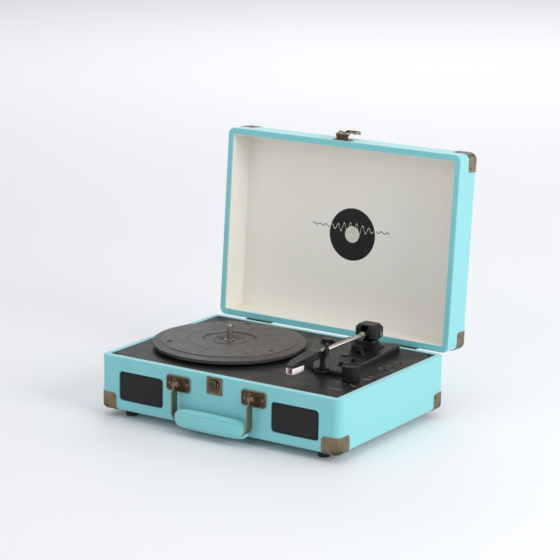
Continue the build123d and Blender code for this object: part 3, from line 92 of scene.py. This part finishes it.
class Surface:
    """A procedural material: a Principled shader with textures in object space, in metres."""

    def __init__(self, name, colour, roughness, metallic=0.0):
        self.material = bpy.data.materials.new(name)
        self.material.use_nodes = True
        self.tree = self.material.node_tree
        self.shader = self.tree.nodes["Principled BSDF"]
        self.colour = [*colour, 1.0]
        self.set("Base Color", self.colour)
        self.set("Roughness", roughness)
        self.set("Metallic", metallic)
        self.place = self.tree.nodes.new("ShaderNodeTexCoord").outputs["Object"]
        self.height = None

    def set(self, socket, value):
        self.shader.inputs[socket].default_value = value

    def join(self, output, socket):
        self.tree.links.new(output, socket)

    def stretched(self, scale):
        """Object coordinates multiplied by scale along X, Y and Z."""
        node = self.tree.nodes.new("ShaderNodeMapping")
        node.inputs["Scale"].default_value = scale
        self.join(self.place, node.inputs["Vector"])
        return node.outputs["Vector"]

    def noise(self, size, detail=3.0, place=None):
        """Noise between 0 and 1 whose features are about size metres across."""
        node = self.tree.nodes.new("ShaderNodeTexNoise")
        node.inputs["Scale"].default_value = 1.0 / size
        node.inputs["Detail"].default_value = detail
        self.join(place or self.place, node.inputs["Vector"])
        return node.outputs["Fac"]

    def cells(self, size):
        """Distance to the edges of irregular cells about size metres across."""
        node = self.tree.nodes.new("ShaderNodeTexVoronoi")
        node.feature = "DISTANCE_TO_EDGE"
        node.inputs["Scale"].default_value = 1.0 / size
        self.join(self.place, node.inputs["Vector"])
        return node.outputs["Distance"]

    def bands(self, size, direction):
        """Even bands across a direction, one every size metres."""
        node = self.tree.nodes.new("ShaderNodeTexWave")
        node.bands_direction = direction
        node.inputs["Scale"].default_value = WAVE_PERIOD / size
        self.join(self.place, node.inputs["Vector"])
        return node.outputs["Fac"]

    def between(self, value, low, high, start=0.3, end=0.7):
        """value mapped from start..end to low..high; most of a noise lies in the usual span."""
        node = self.tree.nodes.new("ShaderNodeMapRange")
        node.inputs["From Min"].default_value = start
        node.inputs["From Max"].default_value = end
        node.inputs["To Min"].default_value = low
        node.inputs["To Max"].default_value = high
        self.join(value, node.inputs["Value"])
        return node.outputs["Result"]

    def combine(self, first, second, operation="MULTIPLY"):
        """Two values put together by a math operation."""
        node = self.tree.nodes.new("ShaderNodeMath")
        node.operation = operation
        self.join(first, node.inputs[0])
        self.join(second, node.inputs[1])
        return node.outputs["Value"]

    def blend(self, factor, other):
        """Base colour blended towards other by factor."""
        node = self.tree.nodes.new("ShaderNodeMix")
        node.data_type = "RGBA"
        previous = self.shader.inputs["Base Color"]
        if previous.links:
            self.join(previous.links[0].from_socket, node.inputs["A"])
        else:
            node.inputs["A"].default_value = self.colour
        node.inputs["B"].default_value = [*other, 1.0]
        self.join(factor, node.inputs["Factor"])
        self.join(node.outputs["Result"], previous)

    def roughen(self, value):
        self.join(value, self.shader.inputs["Roughness"])

    def bump(self, value, depth, strength):
        """Relief of the given depth in metres, on top of any relief already there."""
        node = self.tree.nodes.new("ShaderNodeBump")
        node.inputs["Distance"].default_value = depth
        node.inputs["Strength"].default_value = strength
        self.join(value, node.inputs["Height"])
        if self.height:
            self.join(self.height, node.inputs["Normal"])
        self.height = node.outputs["Normal"]
        self.join(self.height, self.shader.inputs["Normal"])

    def worn_edges(self, colour):
        """Base colour blended towards colour where the form is convex."""
        node = self.tree.nodes.new("ShaderNodeNewGeometry")
        convex = self.between(node.outputs["Pointiness"], 0.0, 1.0, 0.52, 0.60)
        self.blend(convex, colour)


# ---------------------------------------------------------------- materials

def leatherette(name, colour):
    """Embossed vinyl cloth: small irregular pebbles with fine creases between them, and painted
    shade that darkens the creases.
    """
    surface = Surface(name, colour, 0.5)
    pebbles = surface.between(surface.cells(1.5 * MM), 0.0, 1.0, 0.02, 0.22)
    mottle = surface.noise(60 * MM, 4.0)
    painted_crease_shade = [c * 0.86 for c in colour]
    lighter = [min(1.0, c * 1.08 + 0.01) for c in colour]
    # Painted shade: the colour darkens towards the creases between the pebbles.
    surface.blend(surface.between(pebbles, 0.45, 0.0, 0.0, 0.5), painted_crease_shade)
    surface.blend(surface.between(mottle, 0.0, 0.35), lighter)
    surface.roughen(surface.between(mottle, 0.42, 0.56))
    surface.bump(pebbles, 0.12 * MM, 0.7)
    surface.bump(surface.noise(0.5 * MM), 0.03 * MM, 0.4)
    surface.set("Sheen Weight", 0.5)
    surface.set("Sheen Roughness", 0.5)
    return surface.material


def aged_brass(name, colour, bright):
    """Dark antique brass, rubbed bright along its edges and blotched with patina."""
    surface = Surface(name, colour, 0.4, 1.0)
    patina = surface.noise(4 * MM, 6.0)
    fine = surface.noise(0.7 * MM, 4.0)
    surface.blend(surface.between(patina, 0.75, 0.0, 0.35, 0.62), [c * 0.35 for c in colour])
    surface.blend(surface.between(fine, 0.0, 0.25, 0.5, 0.8), bright)
    surface.worn_edges(bright)
    surface.roughen(surface.between(patina, 0.52, 0.28, 0.35, 0.65))
    surface.bump(fine, 0.04 * MM, 0.5)
    return surface.material


def moulded_plastic(name, colour, roughness, grain=0.6 * MM, depth=0.015 * MM):
    """Injection moulded plastic with a fine spark-eroded skin."""
    surface = Surface(name, colour, roughness)
    surface.set("Specular IOR Level", 0.3)
    skin = surface.noise(grain, 2.0)
    smudge = surface.noise(25 * MM, 3.0)
    surface.blend(surface.between(smudge, 0.0, 0.2), [c * 1.2 + 0.003 for c in colour])
    surface.roughen(surface.between(smudge, roughness - 0.06, roughness + 0.08))
    surface.bump(skin, depth, 0.6)
    return surface.material


def woven_cloth(name, colour, pitch):
    """Plain weave: two crossing sets of threads on an upright face, with a painted highlight where
    the threads cross.
    """
    surface = Surface(name, colour, 0.85)
    across = surface.bands(pitch, "X")
    along = surface.bands(pitch, "Z")
    weave = surface.combine(across, along, "MAXIMUM")
    crossing_highlight = surface.combine(across, along, "MULTIPLY")
    # Painted highlight: the colour lightens where the two sets of threads cross and stand highest.
    surface.blend(surface.between(crossing_highlight, 0.0, 0.6, 0.1, 0.9), [c * 2.6 + 0.01 for c in colour])
    surface.blend(surface.between(surface.noise(9 * MM), 0.0, 0.3), [c * 0.5 for c in colour])
    surface.bump(weave, 0.25 * MM, 0.8)
    surface.set("Sheen Weight", 0.05)
    return surface.material


def lining_paper(name, colour):
    """Matt pasted lining with a faint fibre texture."""
    surface = Surface(name, colour, 0.8)
    fibre = surface.noise(0.9 * MM, 5.0, surface.stretched((1.0, 1.0, 0.35)))
    cloud = surface.noise(70 * MM, 3.0)
    surface.blend(surface.between(cloud, 0.0, 0.25), [c * 0.94 for c in colour])
    surface.blend(surface.between(fibre, 0.0, 0.3, 0.55, 0.8), [c * 0.85 for c in colour])
    surface.bump(fibre, 0.05 * MM, 0.5)
    return surface.material


def brushed_metal(name, colour, roughness, stretch):
    """Drawn or turned metal: long fine scratches along one direction."""
    surface = Surface(name, colour, roughness, 1.0)
    scratches = surface.noise(0.4 * MM, 4.0, surface.stretched(stretch))
    surface.roughen(surface.between(scratches, roughness - 0.08, roughness + 0.12))
    surface.blend(surface.between(scratches, 0.0, 0.3, 0.5, 0.8), [c * 0.85 for c in colour])
    surface.bump(scratches, 0.004 * MM, 0.5)
    return surface.material


def soft_rubber(name, colour):
    """Matt rubber or pulp with a little dust in its pores."""
    surface = Surface(name, colour, 0.75)
    dust = surface.noise(3 * MM, 4.0)
    surface.blend(surface.between(dust, 0.0, 0.4, 0.5, 0.75), [c * 2.2 + 0.01 for c in colour])
    surface.bump(surface.noise(0.8 * MM), 0.03 * MM, 0.5)
    return surface.material


def platter_skin(name, colour):
    """Satin plastic with faint dusty streaks."""
    surface = Surface(name, colour, 0.42)
    dust = surface.noise(12 * MM, 5.0)
    surface.blend(surface.between(dust, 0.0, 0.35), [c * 1.5 + 0.01 for c in colour])
    surface.roughen(surface.between(dust, 0.34, 0.52))
    surface.bump(surface.noise(0.5 * MM), 0.015 * MM, 0.6)
    return surface.material


def milky_plastic(name, colour):
    """Thin translucent plastic that glows a little where light comes through."""
    surface = Surface(name, colour, 0.3)
    surface.set("Subsurface Weight", 0.4)
    surface.set("Subsurface Radius", (1.0, 0.6, 0.6))
    surface.set("Subsurface Scale", 2 * MM)
    surface.set("Coat Weight", 0.2)
    surface.blend(surface.between(surface.noise(6 * MM), 0.0, 0.3), [0.95, 0.93, 0.95])
    surface.bump(surface.noise(0.9 * MM), 0.01 * MM, 0.4)
    return surface.material


def pale_wood(name, colour):
    """Sawn softwood with an upright grain."""
    surface = Surface(name, colour, 0.7)
    grain = surface.noise(2 * MM, 6.0, surface.stretched((1.0, 1.0, 0.08)))
    surface.blend(surface.between(grain, 0.0, 0.6), [c * 0.6 for c in colour])
    surface.bump(grain, 0.05 * MM, 0.5)
    return surface.material


def circuit_laminate(name, colour):
    """Green laminate with lighter copper tracks under the lacquer."""
    surface = Surface(name, colour, 0.35)
    tracks = surface.combine(surface.bands(5 * MM, "X"), surface.bands(7 * MM, "Y"))
    surface.blend(surface.between(tracks, 0.0, 0.5, 0.6, 0.7), [0.12, 0.4, 0.2])
    surface.bump(tracks, 0.02 * MM, 0.5)
    surface.set("Coat Weight", 0.3)
    return surface.material


TURQUOISE = srgb("7BCBD1")
CREAM = srgb("F1EEE5")

materials = {
    "leatherette": leatherette("turquoise_leatherette", TURQUOISE),
    "wood_block": pale_wood("pine", srgb("B59468")),
    "antique_brass": aged_brass("antique_brass", srgb("5C4F41"), srgb("8C7C66")),
    "rivet_brass": aged_brass("rivet_brass", srgb("8C705C"), srgb("C2A48C")),
    "foot_rubber": soft_rubber("foot_rubber", srgb("1C1B1C")),
    "steel_screw": brushed_metal("black_steel", srgb("4C4A48"), 0.35, (1.0, 1.0, 0.2)),
    "speaker_cloth": woven_cloth("speaker_cloth", srgb("17161A"), 0.9 * MM),
    "speaker_steel": moulded_plastic("speaker_steel", srgb("2B2B2D"), 0.4),
    "speaker_paper": soft_rubber("speaker_paper", srgb("2A2826")),
    "deck_panel": moulded_plastic("deck_panel", srgb("1F1C1B"), 0.4, 0.9 * MM, 0.02 * MM),
    "cream_lining": lining_paper("cream_lining", CREAM),
    "platter_plastic": platter_skin("platter_plastic", srgb("474340")),
    "pad_rubber": soft_rubber("pad_rubber", srgb("242221")),
    "bright_steel": brushed_metal("bright_steel", srgb("A8A09A"), 0.34, (1.0, 1.0, 0.3)),
    "motor_steel": brushed_metal("motor_steel", srgb("A9A9A9"), 0.35, (1.0, 1.0, 0.1)),
    "white_plastic": moulded_plastic("white_plastic", srgb("E2E0DA"), 0.4),
    "black_plastic": moulded_plastic("black_plastic", srgb("19181A"), 0.3),
    "silver_tube": brushed_metal("silver_tube", srgb("CFCCC4"), 0.28, (1.0, 0.01, 1.0)),
    "guard_plastic": milky_plastic("guard_plastic", srgb("EFDDE4")),
    "stylus_red": moulded_plastic("stylus_red", srgb("B3160F"), 0.3),
    "pin_brass": brushed_metal("pin_brass", srgb("E3CFA0"), 0.25, (1.0, 0.2, 1.0)),
    "jack_shell": moulded_plastic("jack_shell", srgb("1E1D1D"), 0.3),
    "circuit_board": circuit_laminate("circuit_board", srgb("1B5A34")),
    "board_component": moulded_plastic("board_component", srgb("2A2B31"), 0.4),
    "standoff_plastic": moulded_plastic("standoff_plastic", srgb("DCDAD0"), 0.45),
}

stitch_thread = woven_cloth("stitch_thread", srgb("4FAAB4"), 0.5 * MM)
printed_black = moulded_plastic("printed_black", srgb("131112"), 0.5)
printed_cream = moulded_plastic("printed_cream", srgb("D8D3C4"), 0.5)
printed_grey = moulded_plastic("printed_grey", srgb("B9B6B0"), 0.5)

for subpart in frame["record"]["subparts"]:
    for slot in nodes[subpart["node"]].material_slots:
        slot.material = materials[subpart["material_slot"]]


# ---------------------------------------------------------------- mesh tools

def add_piece(name, points, faces, material, body):
    """Smooth mesh piece that rides a CAD body; points are in metres."""
    mesh = bpy.data.meshes.new(name)
    mesh.from_pydata([tuple(point) for point in points], [], faces)
    mesh.polygons.foreach_set("use_smooth", [True] * len(mesh.polygons))
    mesh.materials.append(material)
    piece = bpy.data.objects.new(name, mesh)
    bpy.context.collection.objects.link(piece)
    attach(piece, body)
    return piece


def rows_to_faces(rows, columns, closed=False):
    """Quads between neighbouring rows of a grid of points; closed joins each row's ends."""
    faces = []
    for row in range(rows - 1):
        for column in range(columns if closed else columns - 1):
            after = (column + 1) % columns
            first = row * columns
            second = first + columns
            faces.append((first + column, first + after, second + after, second + column))
    return faces


def size_of(node):
    """Lowest corner, highest corner and middle of a CAD node's box."""
    low, high = (Vector(corner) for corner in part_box(node))
    return low, high, (low + high) / 2


joints = {joint["name"]: joint for joint in frame["record"]["behaviour"]["joints"]}
hinge = Vector(joints["lid_hinge"]["pos_m"])
lid_angle = radians(joints["lid_hinge"]["range_deg"][1])
case_low, case_high, case_middle = size_of("base_case")
deck_top = size_of("deck_plate")[1].z


def on_open_lid(x, y, up):
    """Point of the shut lid, x and y from the case centre and up from the rim, once opened."""
    shut = Vector((x, case_middle.y + y, case_high.z + up))
    return hinge + Matrix.Rotation(-lid_angle, 3, "X") @ (shut - hinge)


def on_deck(x, y, up):
    """Point x and y from the case centre and up from the deck."""
    return Vector((x, case_middle.y + y, deck_top + up))


# ---------------------------------------------------------------- padded grip

GRIP_SQUARENESS = 2.5                       # 2 is an ellipse, more comes nearer a rectangle
GRIP_CHANNELS = (pi - 0.95, pi + 0.95)      # angles of the sewn channels round the section
CHANNEL_DEPTH = 0.75 * MM
CHANNEL_SPREAD = 0.085                      # radians to each side of a channel's bottom
GRIP_ROWS = 181
GRIP_COLUMNS = 120
STITCH_PITCH = 4.2 * MM
STITCH_REACH = 0.36                         # half of a stitch's length, as a share of the pitch
STITCH_LIFT = 0.22 * MM
THREAD_R = 0.34 * MM
THREAD_STEPS = 7
THREAD_SIDES = 8
grip_low, grip_high, grip_middle = size_of("handle_grip")
grip_half = (grip_high - grip_low) / 2


def grip_point(along, angle, lift=0.0):
    """Point on the stuffed grip: along from -1 to 1 on its length, angle round its section."""
    end_round = max(0.0, 1.0 - abs(along) ** 9) ** 0.36
    swell = end_round * (0.93 + 0.07 * cos(along * pi / 2))
    deep = abs(cos(angle) / (grip_half.y * 0.97)) ** GRIP_SQUARENESS
    tall = abs(sin(angle) / (grip_half.z * 0.98)) ** GRIP_SQUARENESS
    radius = swell / (deep + tall) ** (1 / GRIP_SQUARENESS)
    x = along * grip_half.x
    pull = 0.8 + 0.2 * cos(2 * pi * x / STITCH_PITCH)
    for channel in GRIP_CHANNELS:
        dip = exp(-((angle - channel) / CHANNEL_SPREAD) ** 2)
        radius -= CHANNEL_DEPTH * pull * end_round * dip
    radius += lift
    return grip_middle + Vector((x, radius * cos(angle), radius * sin(angle)))


def make_grip():
    """Stuffed and sewn grip round the handle's strap, with more rows towards its ends."""
    turns = [2 * pi * column / GRIP_COLUMNS for column in range(GRIP_COLUMNS)]
    points = []
    for row in range(GRIP_ROWS):
        share = row / (GRIP_ROWS - 1)
        along = -cos(pi * share) * 0.35 + (2 * share - 1) * 0.65
        points += [grip_point(along, turn) for turn in turns]
    faces = rows_to_faces(GRIP_ROWS, GRIP_COLUMNS, closed=True)
    grip = add_piece("padded_grip", points, faces, materials["leatherette"], "handle")
    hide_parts("handle_grip")


def make_grip_stitches():
    """Short thread stitches lying in the grip's two sewn channels."""
    half_count = int(0.9 * grip_half.x / STITCH_PITCH)
    points = []
    faces = []
    for channel in GRIP_CHANNELS:
        for index in range(-half_count, half_count + 1):
            start = len(points)
            for step in range(THREAD_STEPS):
                swell = sin(pi * (step + 0.4) / (THREAD_STEPS - 0.2))
                reach = STITCH_REACH * (2 * step / (THREAD_STEPS - 1) - 1)
                x = (index + reach) * STITCH_PITCH
                core = grip_point(x / grip_half.x, channel, STITCH_LIFT * swell)
                for side in range(THREAD_SIDES):
                    turn = 2 * pi * side / THREAD_SIDES
                    points.append(core + Vector((0, cos(turn), sin(turn))) * THREAD_R * swell)
            faces += [
                tuple(start + corner for corner in face)
                for face in rows_to_faces(THREAD_STEPS, THREAD_SIDES, closed=True)
            ]
    add_piece("grip_stitches", points, faces, stitch_thread, "handle")


# ---------------------------------------------------------------- speaker cloth

CLOTH_WIDTH = 68.0 * MM
CLOTH_ROWS = 37
CLOTH_COLUMNS = 67
CLOTH_SUNK = 0.9 * MM       # the cloth's edge, behind the front of the CAD grille
CLOTH_CROWN = 1.1 * MM
CORNER_PULL = 0.055         # how far a corner is drawn in, as a share of half the cloth


def make_speaker_cloth(name, low, high):
    """Cloth stretched over one speaker opening, drawn in at its corners and slightly crowned."""
    middle = (low + high) / 2
    half = (high - low) / 2
    points = []
    for row in range(CLOTH_ROWS):
        v = 2 * row / (CLOTH_ROWS - 1) - 1
        for column in range(CLOTH_COLUMNS):
            u = 2 * column / (CLOTH_COLUMNS - 1) - 1
            squeeze = 1.0 - CORNER_PULL * abs(u * v) ** 6
            crown = (1 - abs(u) ** 5) * (1 - abs(v) ** 5)
            front = low.y + CLOTH_SUNK - CLOTH_CROWN * crown
            place = (middle.x + u * squeeze * half.x, front, middle.z + v * squeeze * half.z)
            points.append(place)
    faces = rows_to_faces(CLOTH_ROWS, CLOTH_COLUMNS)
    cloth = add_piece(name, points, faces, materials["speaker_cloth"], "case")
    return cloth


def make_speaker_cloths():
    """Left and right cloths, at the two ends of the box round both grilles."""
    low, high, _ = size_of("speaker_grilles")
    left_high = Vector((low.x + CLOTH_WIDTH, high.y, high.z))
    right_low = Vector((high.x - CLOTH_WIDTH, low.y, low.z))
    left = make_speaker_cloth("left_cloth", low, left_high)
    make_speaker_cloth("right_cloth", right_low, high)
    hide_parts("speaker_grilles")


# ---------------------------------------------------------------- stylus guard

GUARD_WALL = 0.9 * MM
GUARD_ROWS = 33
GUARD_STEPS = 25            # points round the trough's section, on each side of its wall
GUARD_ROUND = 0.55          # 1 is a half ellipse, less comes nearer a square trough
NOSE_START = 0.6            # where the nose begins to sweep up, as a share of the length


def make_stylus_guard():
    """Thin rounded trough round the stylus, open at its top and front and swept up at its nose."""
    low, high, middle = size_of("stylus_guard")
    points = []
    for row in range(GUARD_ROWS):
        along = row / (GUARD_ROWS - 1)
        nose = max(0.0, along - NOSE_START) / (1.0 - NOSE_START)
        thin = min(1.0, 0.2 + 9.0 * min(along, 1.0 - along))
        half_width = (high.x - low.x) / 2 * (1.0 + 0.06 * sin(pi * along) - 0.1 * nose * nose)
        drop = (high.z - low.z) * (1.0 + 0.05 * sin(pi * along) - 0.16 * nose * nose)
        for wall in (0.0, GUARD_WALL * thin):
            ring = []
            for step in range(GUARD_STEPS):
                angle = pi * step / (GUARD_STEPS - 1)
                side = (half_width - wall) * abs(cos(angle)) ** GUARD_ROUND
                x = middle.x + (side if cos(angle) > 0 else -side)
                ring.append((x, high.z - (drop - wall) * sin(angle) ** GUARD_ROUND))
            points += [
                (x, high.y + (low.y - high.y) * along, z)
                for x, z in (ring if wall == 0.0 else reversed(ring))
            ]
    faces = rows_to_faces(GUARD_ROWS, 2 * GUARD_STEPS, closed=True)
    material = materials["guard_plastic"]
    guard = add_piece("rounded_guard", points, faces, material, "stylus_guard")
    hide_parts("stylus_guard")


# ---------------------------------------------------------------- lid picture and printed marks

PANEL_UP = 41.0 * MM        # lid's inner panel above the rim, with the lid shut
DISC_X = 1.0 * MM           # the disc's centre, from the lid's middle
DISC_R = 35.0 * MM
DISC_SEGMENTS = 96
LABEL_R = 11.0 * MM
LABEL_HOLE_R = 1.8 * MM
GROOVES = 16
GROOVE_PITCH = 1.35         # millimetres from one groove to the next
FIRST_GROOVE = 1.2          # millimetres from the label to the first groove
DISC_LOW = 0.12 * MM        # the print's height off the panel, in a groove and between grooves
DISC_HIGH = 0.22 * MM
WAVE_Y = -8 * MM
WAVE_LENGTH = 9.5 * MM
WAVE_SPREAD = 26 * MM       # how far the taller waves reach to each side of the disc's centre
WAVE_STEP = 0.5 * MM
WAVE_LEFT = -61 * MM
WAVE_RIGHT = 58 * MM
WAVE_GAP = 4 * MM           # bare panel between the disc and the line beside it


def make_disc(name, outline, material):
    """Round print on the lid's panel; outline is (radius, height off the panel) points."""
    points = []
    for radius, height in outline:
        for segment in range(DISC_SEGMENTS):
            turn = 2 * pi * segment / DISC_SEGMENTS
            x = DISC_X + radius * cos(turn)
            points.append(on_open_lid(x, radius * sin(turn), PANEL_UP - height))
    faces = rows_to_faces(len(outline), DISC_SEGMENTS, closed=True)
    add_piece(name, points, faces, material, "lid")


def make_wave(name, start, end, height, material):
    """Length of a sound wave line across the lid's panel, from start to end along X."""
    steps = int((end - start) / WAVE_STEP)
    points = []
    for step in range(steps + 1):
        x = start + (end - start) * step / steps
        swell = exp(-((x - DISC_X) / WAVE_SPREAD) ** 2)
        y = WAVE_Y + (1.0 + 6.5 * swell) * MM * sin(2 * pi * x / WAVE_LENGTH)
        half = (0.55 + 0.35 * swell) * MM
        points += [on_open_lid(x, y + side * half, PANEL_UP - height) for side in (-1, 1)]
    add_piece(name, points, rows_to_faces(steps + 1, 2), material, "lid")


def make_lid_picture():
    """Plain grooved record with a blank label, and a sound wave that runs across it."""
    grooves = [(LABEL_R, 0.15 * MM)]
    for index in range(GROOVES):
        radius = LABEL_R + (FIRST_GROOVE + GROOVE_PITCH * index) * MM
        grooves += [(radius, DISC_HIGH), (radius + 0.5 * MM, DISC_LOW)]
    grooves += [(DISC_R - 0.4 * MM, DISC_HIGH), (DISC_R, 0.02 * MM)]
    make_disc("picture_disc", grooves, printed_black)
    label = [(LABEL_HOLE_R, 0.2 * MM), (LABEL_R - 1.0 * MM, 0.2 * MM), (LABEL_R, 0.16 * MM)]
    make_disc("picture_label", label, printed_cream)
    reach = DISC_R - 2.5 * MM
    disc_left = DISC_X - reach
    disc_right = DISC_X + reach
    make_wave("wave_left", WAVE_LEFT, disc_left - WAVE_GAP, DISC_LOW, printed_black)
    make_wave("wave_middle", disc_left, disc_right, 0.34 * MM, printed_cream)
    make_wave("wave_right", disc_right + WAVE_GAP, WAVE_RIGHT, DISC_LOW, printed_black)


MARK_HALF = 0.45            # half of a strip's width, in millimetres
MARK_LIFT = 0.08 * MM
SOCKET_YS = (21, 40, 59)    # the three deck sockets, in millimetres behind the case's middle
KNOB_TICKS = 9
KNOB_TICK_TURN = 30         # degrees from one tick to the next
KNOB_TICK_R = 13.6          # millimetres from the knob's middle to a tick's near end
KNOB_TICK_REACH = 1.12      # far end over near end


def make_deck_marks():
    """Plain ticks beside the controls and sockets: short strips, as (x, y, x, y) in millimetres."""
    strips = [
        (136, -89, 155, -86),       # in front of the volume knob
        (131, -62, 134, -61),
        (154, -63, 161, -65),
        (151, -31, 158, -31),       # behind the volume knob
        (153, -27, 161, -27),
        (140.5, 26, 145.5, 26),     # beside the front socket
        (158.5, 23, 162.5, 23),
        (151, -16, 158, -16),       # between the knob and the sockets
    ]
    strips += [(143, y, 147, y) for y in SOCKET_YS]
    knob = size_of("volume_knob")[2]
    for index in range(KNOB_TICKS):
        turn = radians(-60 - KNOB_TICK_TURN * index)
        near = Vector((sin(turn), cos(turn))) * KNOB_TICK_R
        far = near * KNOB_TICK_REACH
        x = knob.x / MM
        y = (knob.y - case_middle.y) / MM
        strips.append((x + near.x, y + near.y, x + far.x, y + far.y))
    points = []
    faces = []
    for x0, y0, x1, y1 in strips:
        along = Vector((x1 - x0, y1 - y0)).normalized() * MARK_HALF
        start = len(points)
        for x, y, side in ((x0, y0, 1), (x0, y0, -1), (x1, y1, -1), (x1, y1, 1)):
            across = x - along.y * side
            back = y + along.x * side
            points.append(on_deck(across * MM, back * MM, MARK_LIFT))
        faces.append((start, start + 1, start + 2, start + 3))
    add_piece("deck_marks", points, faces, printed_grey, "case")


# ---------------------------------------------------------------- covering seams

SEAM_BACK = 9.3 * MM        # behind the case's front
SEAM_FOOT = 19 * MM         # lower end above the case's bottom, under the corner guard
SEAM_HEAD = 1.6 * MM        # upper end below the case's rim
SEAM_PROFILE = ((-1.4 * MM, 0.02 * MM), (-0.2 * MM, 0.28 * MM), (0.0, -0.1 * MM))   # (back, out)


def make_covering_seams():
    """Overlapped ends of the leatherette, just behind the front corners on both sides."""
    seam_y = case_low.y + SEAM_BACK
    for side, wall in ((-1, case_low.x), (1, case_high.x)):
        points = []
        for height in (case_low.z + SEAM_FOOT, case_high.z - SEAM_HEAD):
            for back, out in SEAM_PROFILE:
                points.append((wall + side * out, seam_y + back, height))
        faces = rows_to_faces(2, 3)
        name = "seam_right" if side > 0 else "seam_left"
        seam = add_piece(name, points, faces, materials["leatherette"], "case")


make_grip()
make_grip_stitches()
make_speaker_cloths()
make_stylus_guard()
make_lid_picture()
make_deck_marks()
make_covering_seams()


# ---------------------------------------------------------------- floor and light

FLOOR_HALF = 6.0


def make_stage():
    """Pale floor at the height of the feet's soles."""
    corners = [(x * FLOOR_HALF, y * FLOOR_HALF, 0) for x, y in ((-1, -1), (1, -1), (1, 1), (-1, 1))]
    mesh = bpy.data.meshes.new("floor")
    mesh.from_pydata(corners, [], [(0, 1, 2, 3)])
    floor = bpy.data.objects.new("floor", mesh)
    surface = Surface("pale_floor", srgb("EDEEF0"), 0.55)
    surface.blend(surface.between(surface.noise(0.4), 0.0, 0.2), srgb("E6E8EA"))
    floor.data.materials.append(surface.material)
    bpy.context.collection.objects.link(floor)


def make_light(name, place, target, size, power):
    """Rectangular light of size by size metres at place, turned towards target; power in watts."""
    data = bpy.data.lights.new(name, "AREA")
    data.shape = "RECTANGLE"
    data.size = size[0]
    data.size_y = size[1]
    data.energy = power
    light = bpy.data.objects.new(name, data)
    light.location = place
    direction = Vector(target) - Vector(place)
    light.rotation_euler = direction.to_track_quat("-Z", "Y").to_euler()
    bpy.context.collection.objects.link(light)


def make_world():
    """Even, faintly cool light from all round."""
    world = bpy.data.worlds.new("studio")
    world.use_nodes = True
    background = world.node_tree.nodes["Background"]
    background.inputs["Color"].default_value = (0.97, 0.975, 0.99, 1.0)
    background.inputs["Strength"].default_value = 0.62
    bpy.context.scene.world = world
    bpy.context.scene.view_settings.view_transform = "Standard"


make_stage()
make_world()
make_light("key", (2.4, -0.3, 1.25), (0.0, 0.0, 0.1), (1.2, 1.2), 33.0)
make_light("side_panel", (2.0, 1.9, 0.7), (0.2, 0.0, 0.1), (2.2, 1.4), 14.0)
make_light("front_fill", (-0.8, -2.6, 1.4), (0.0, 0.0, 0.15), (2.0, 1.4), 8.0)
make_light("top", (0.0, 0.2, 2.4), (0.0, 0.0, 0.1), (2.0, 2.0), 11.0)
make_light("backdrop", (-1.4, 3.2, 2.2), (-1.6, 3.4, 0.0), (3.0, 2.0), 40.0)
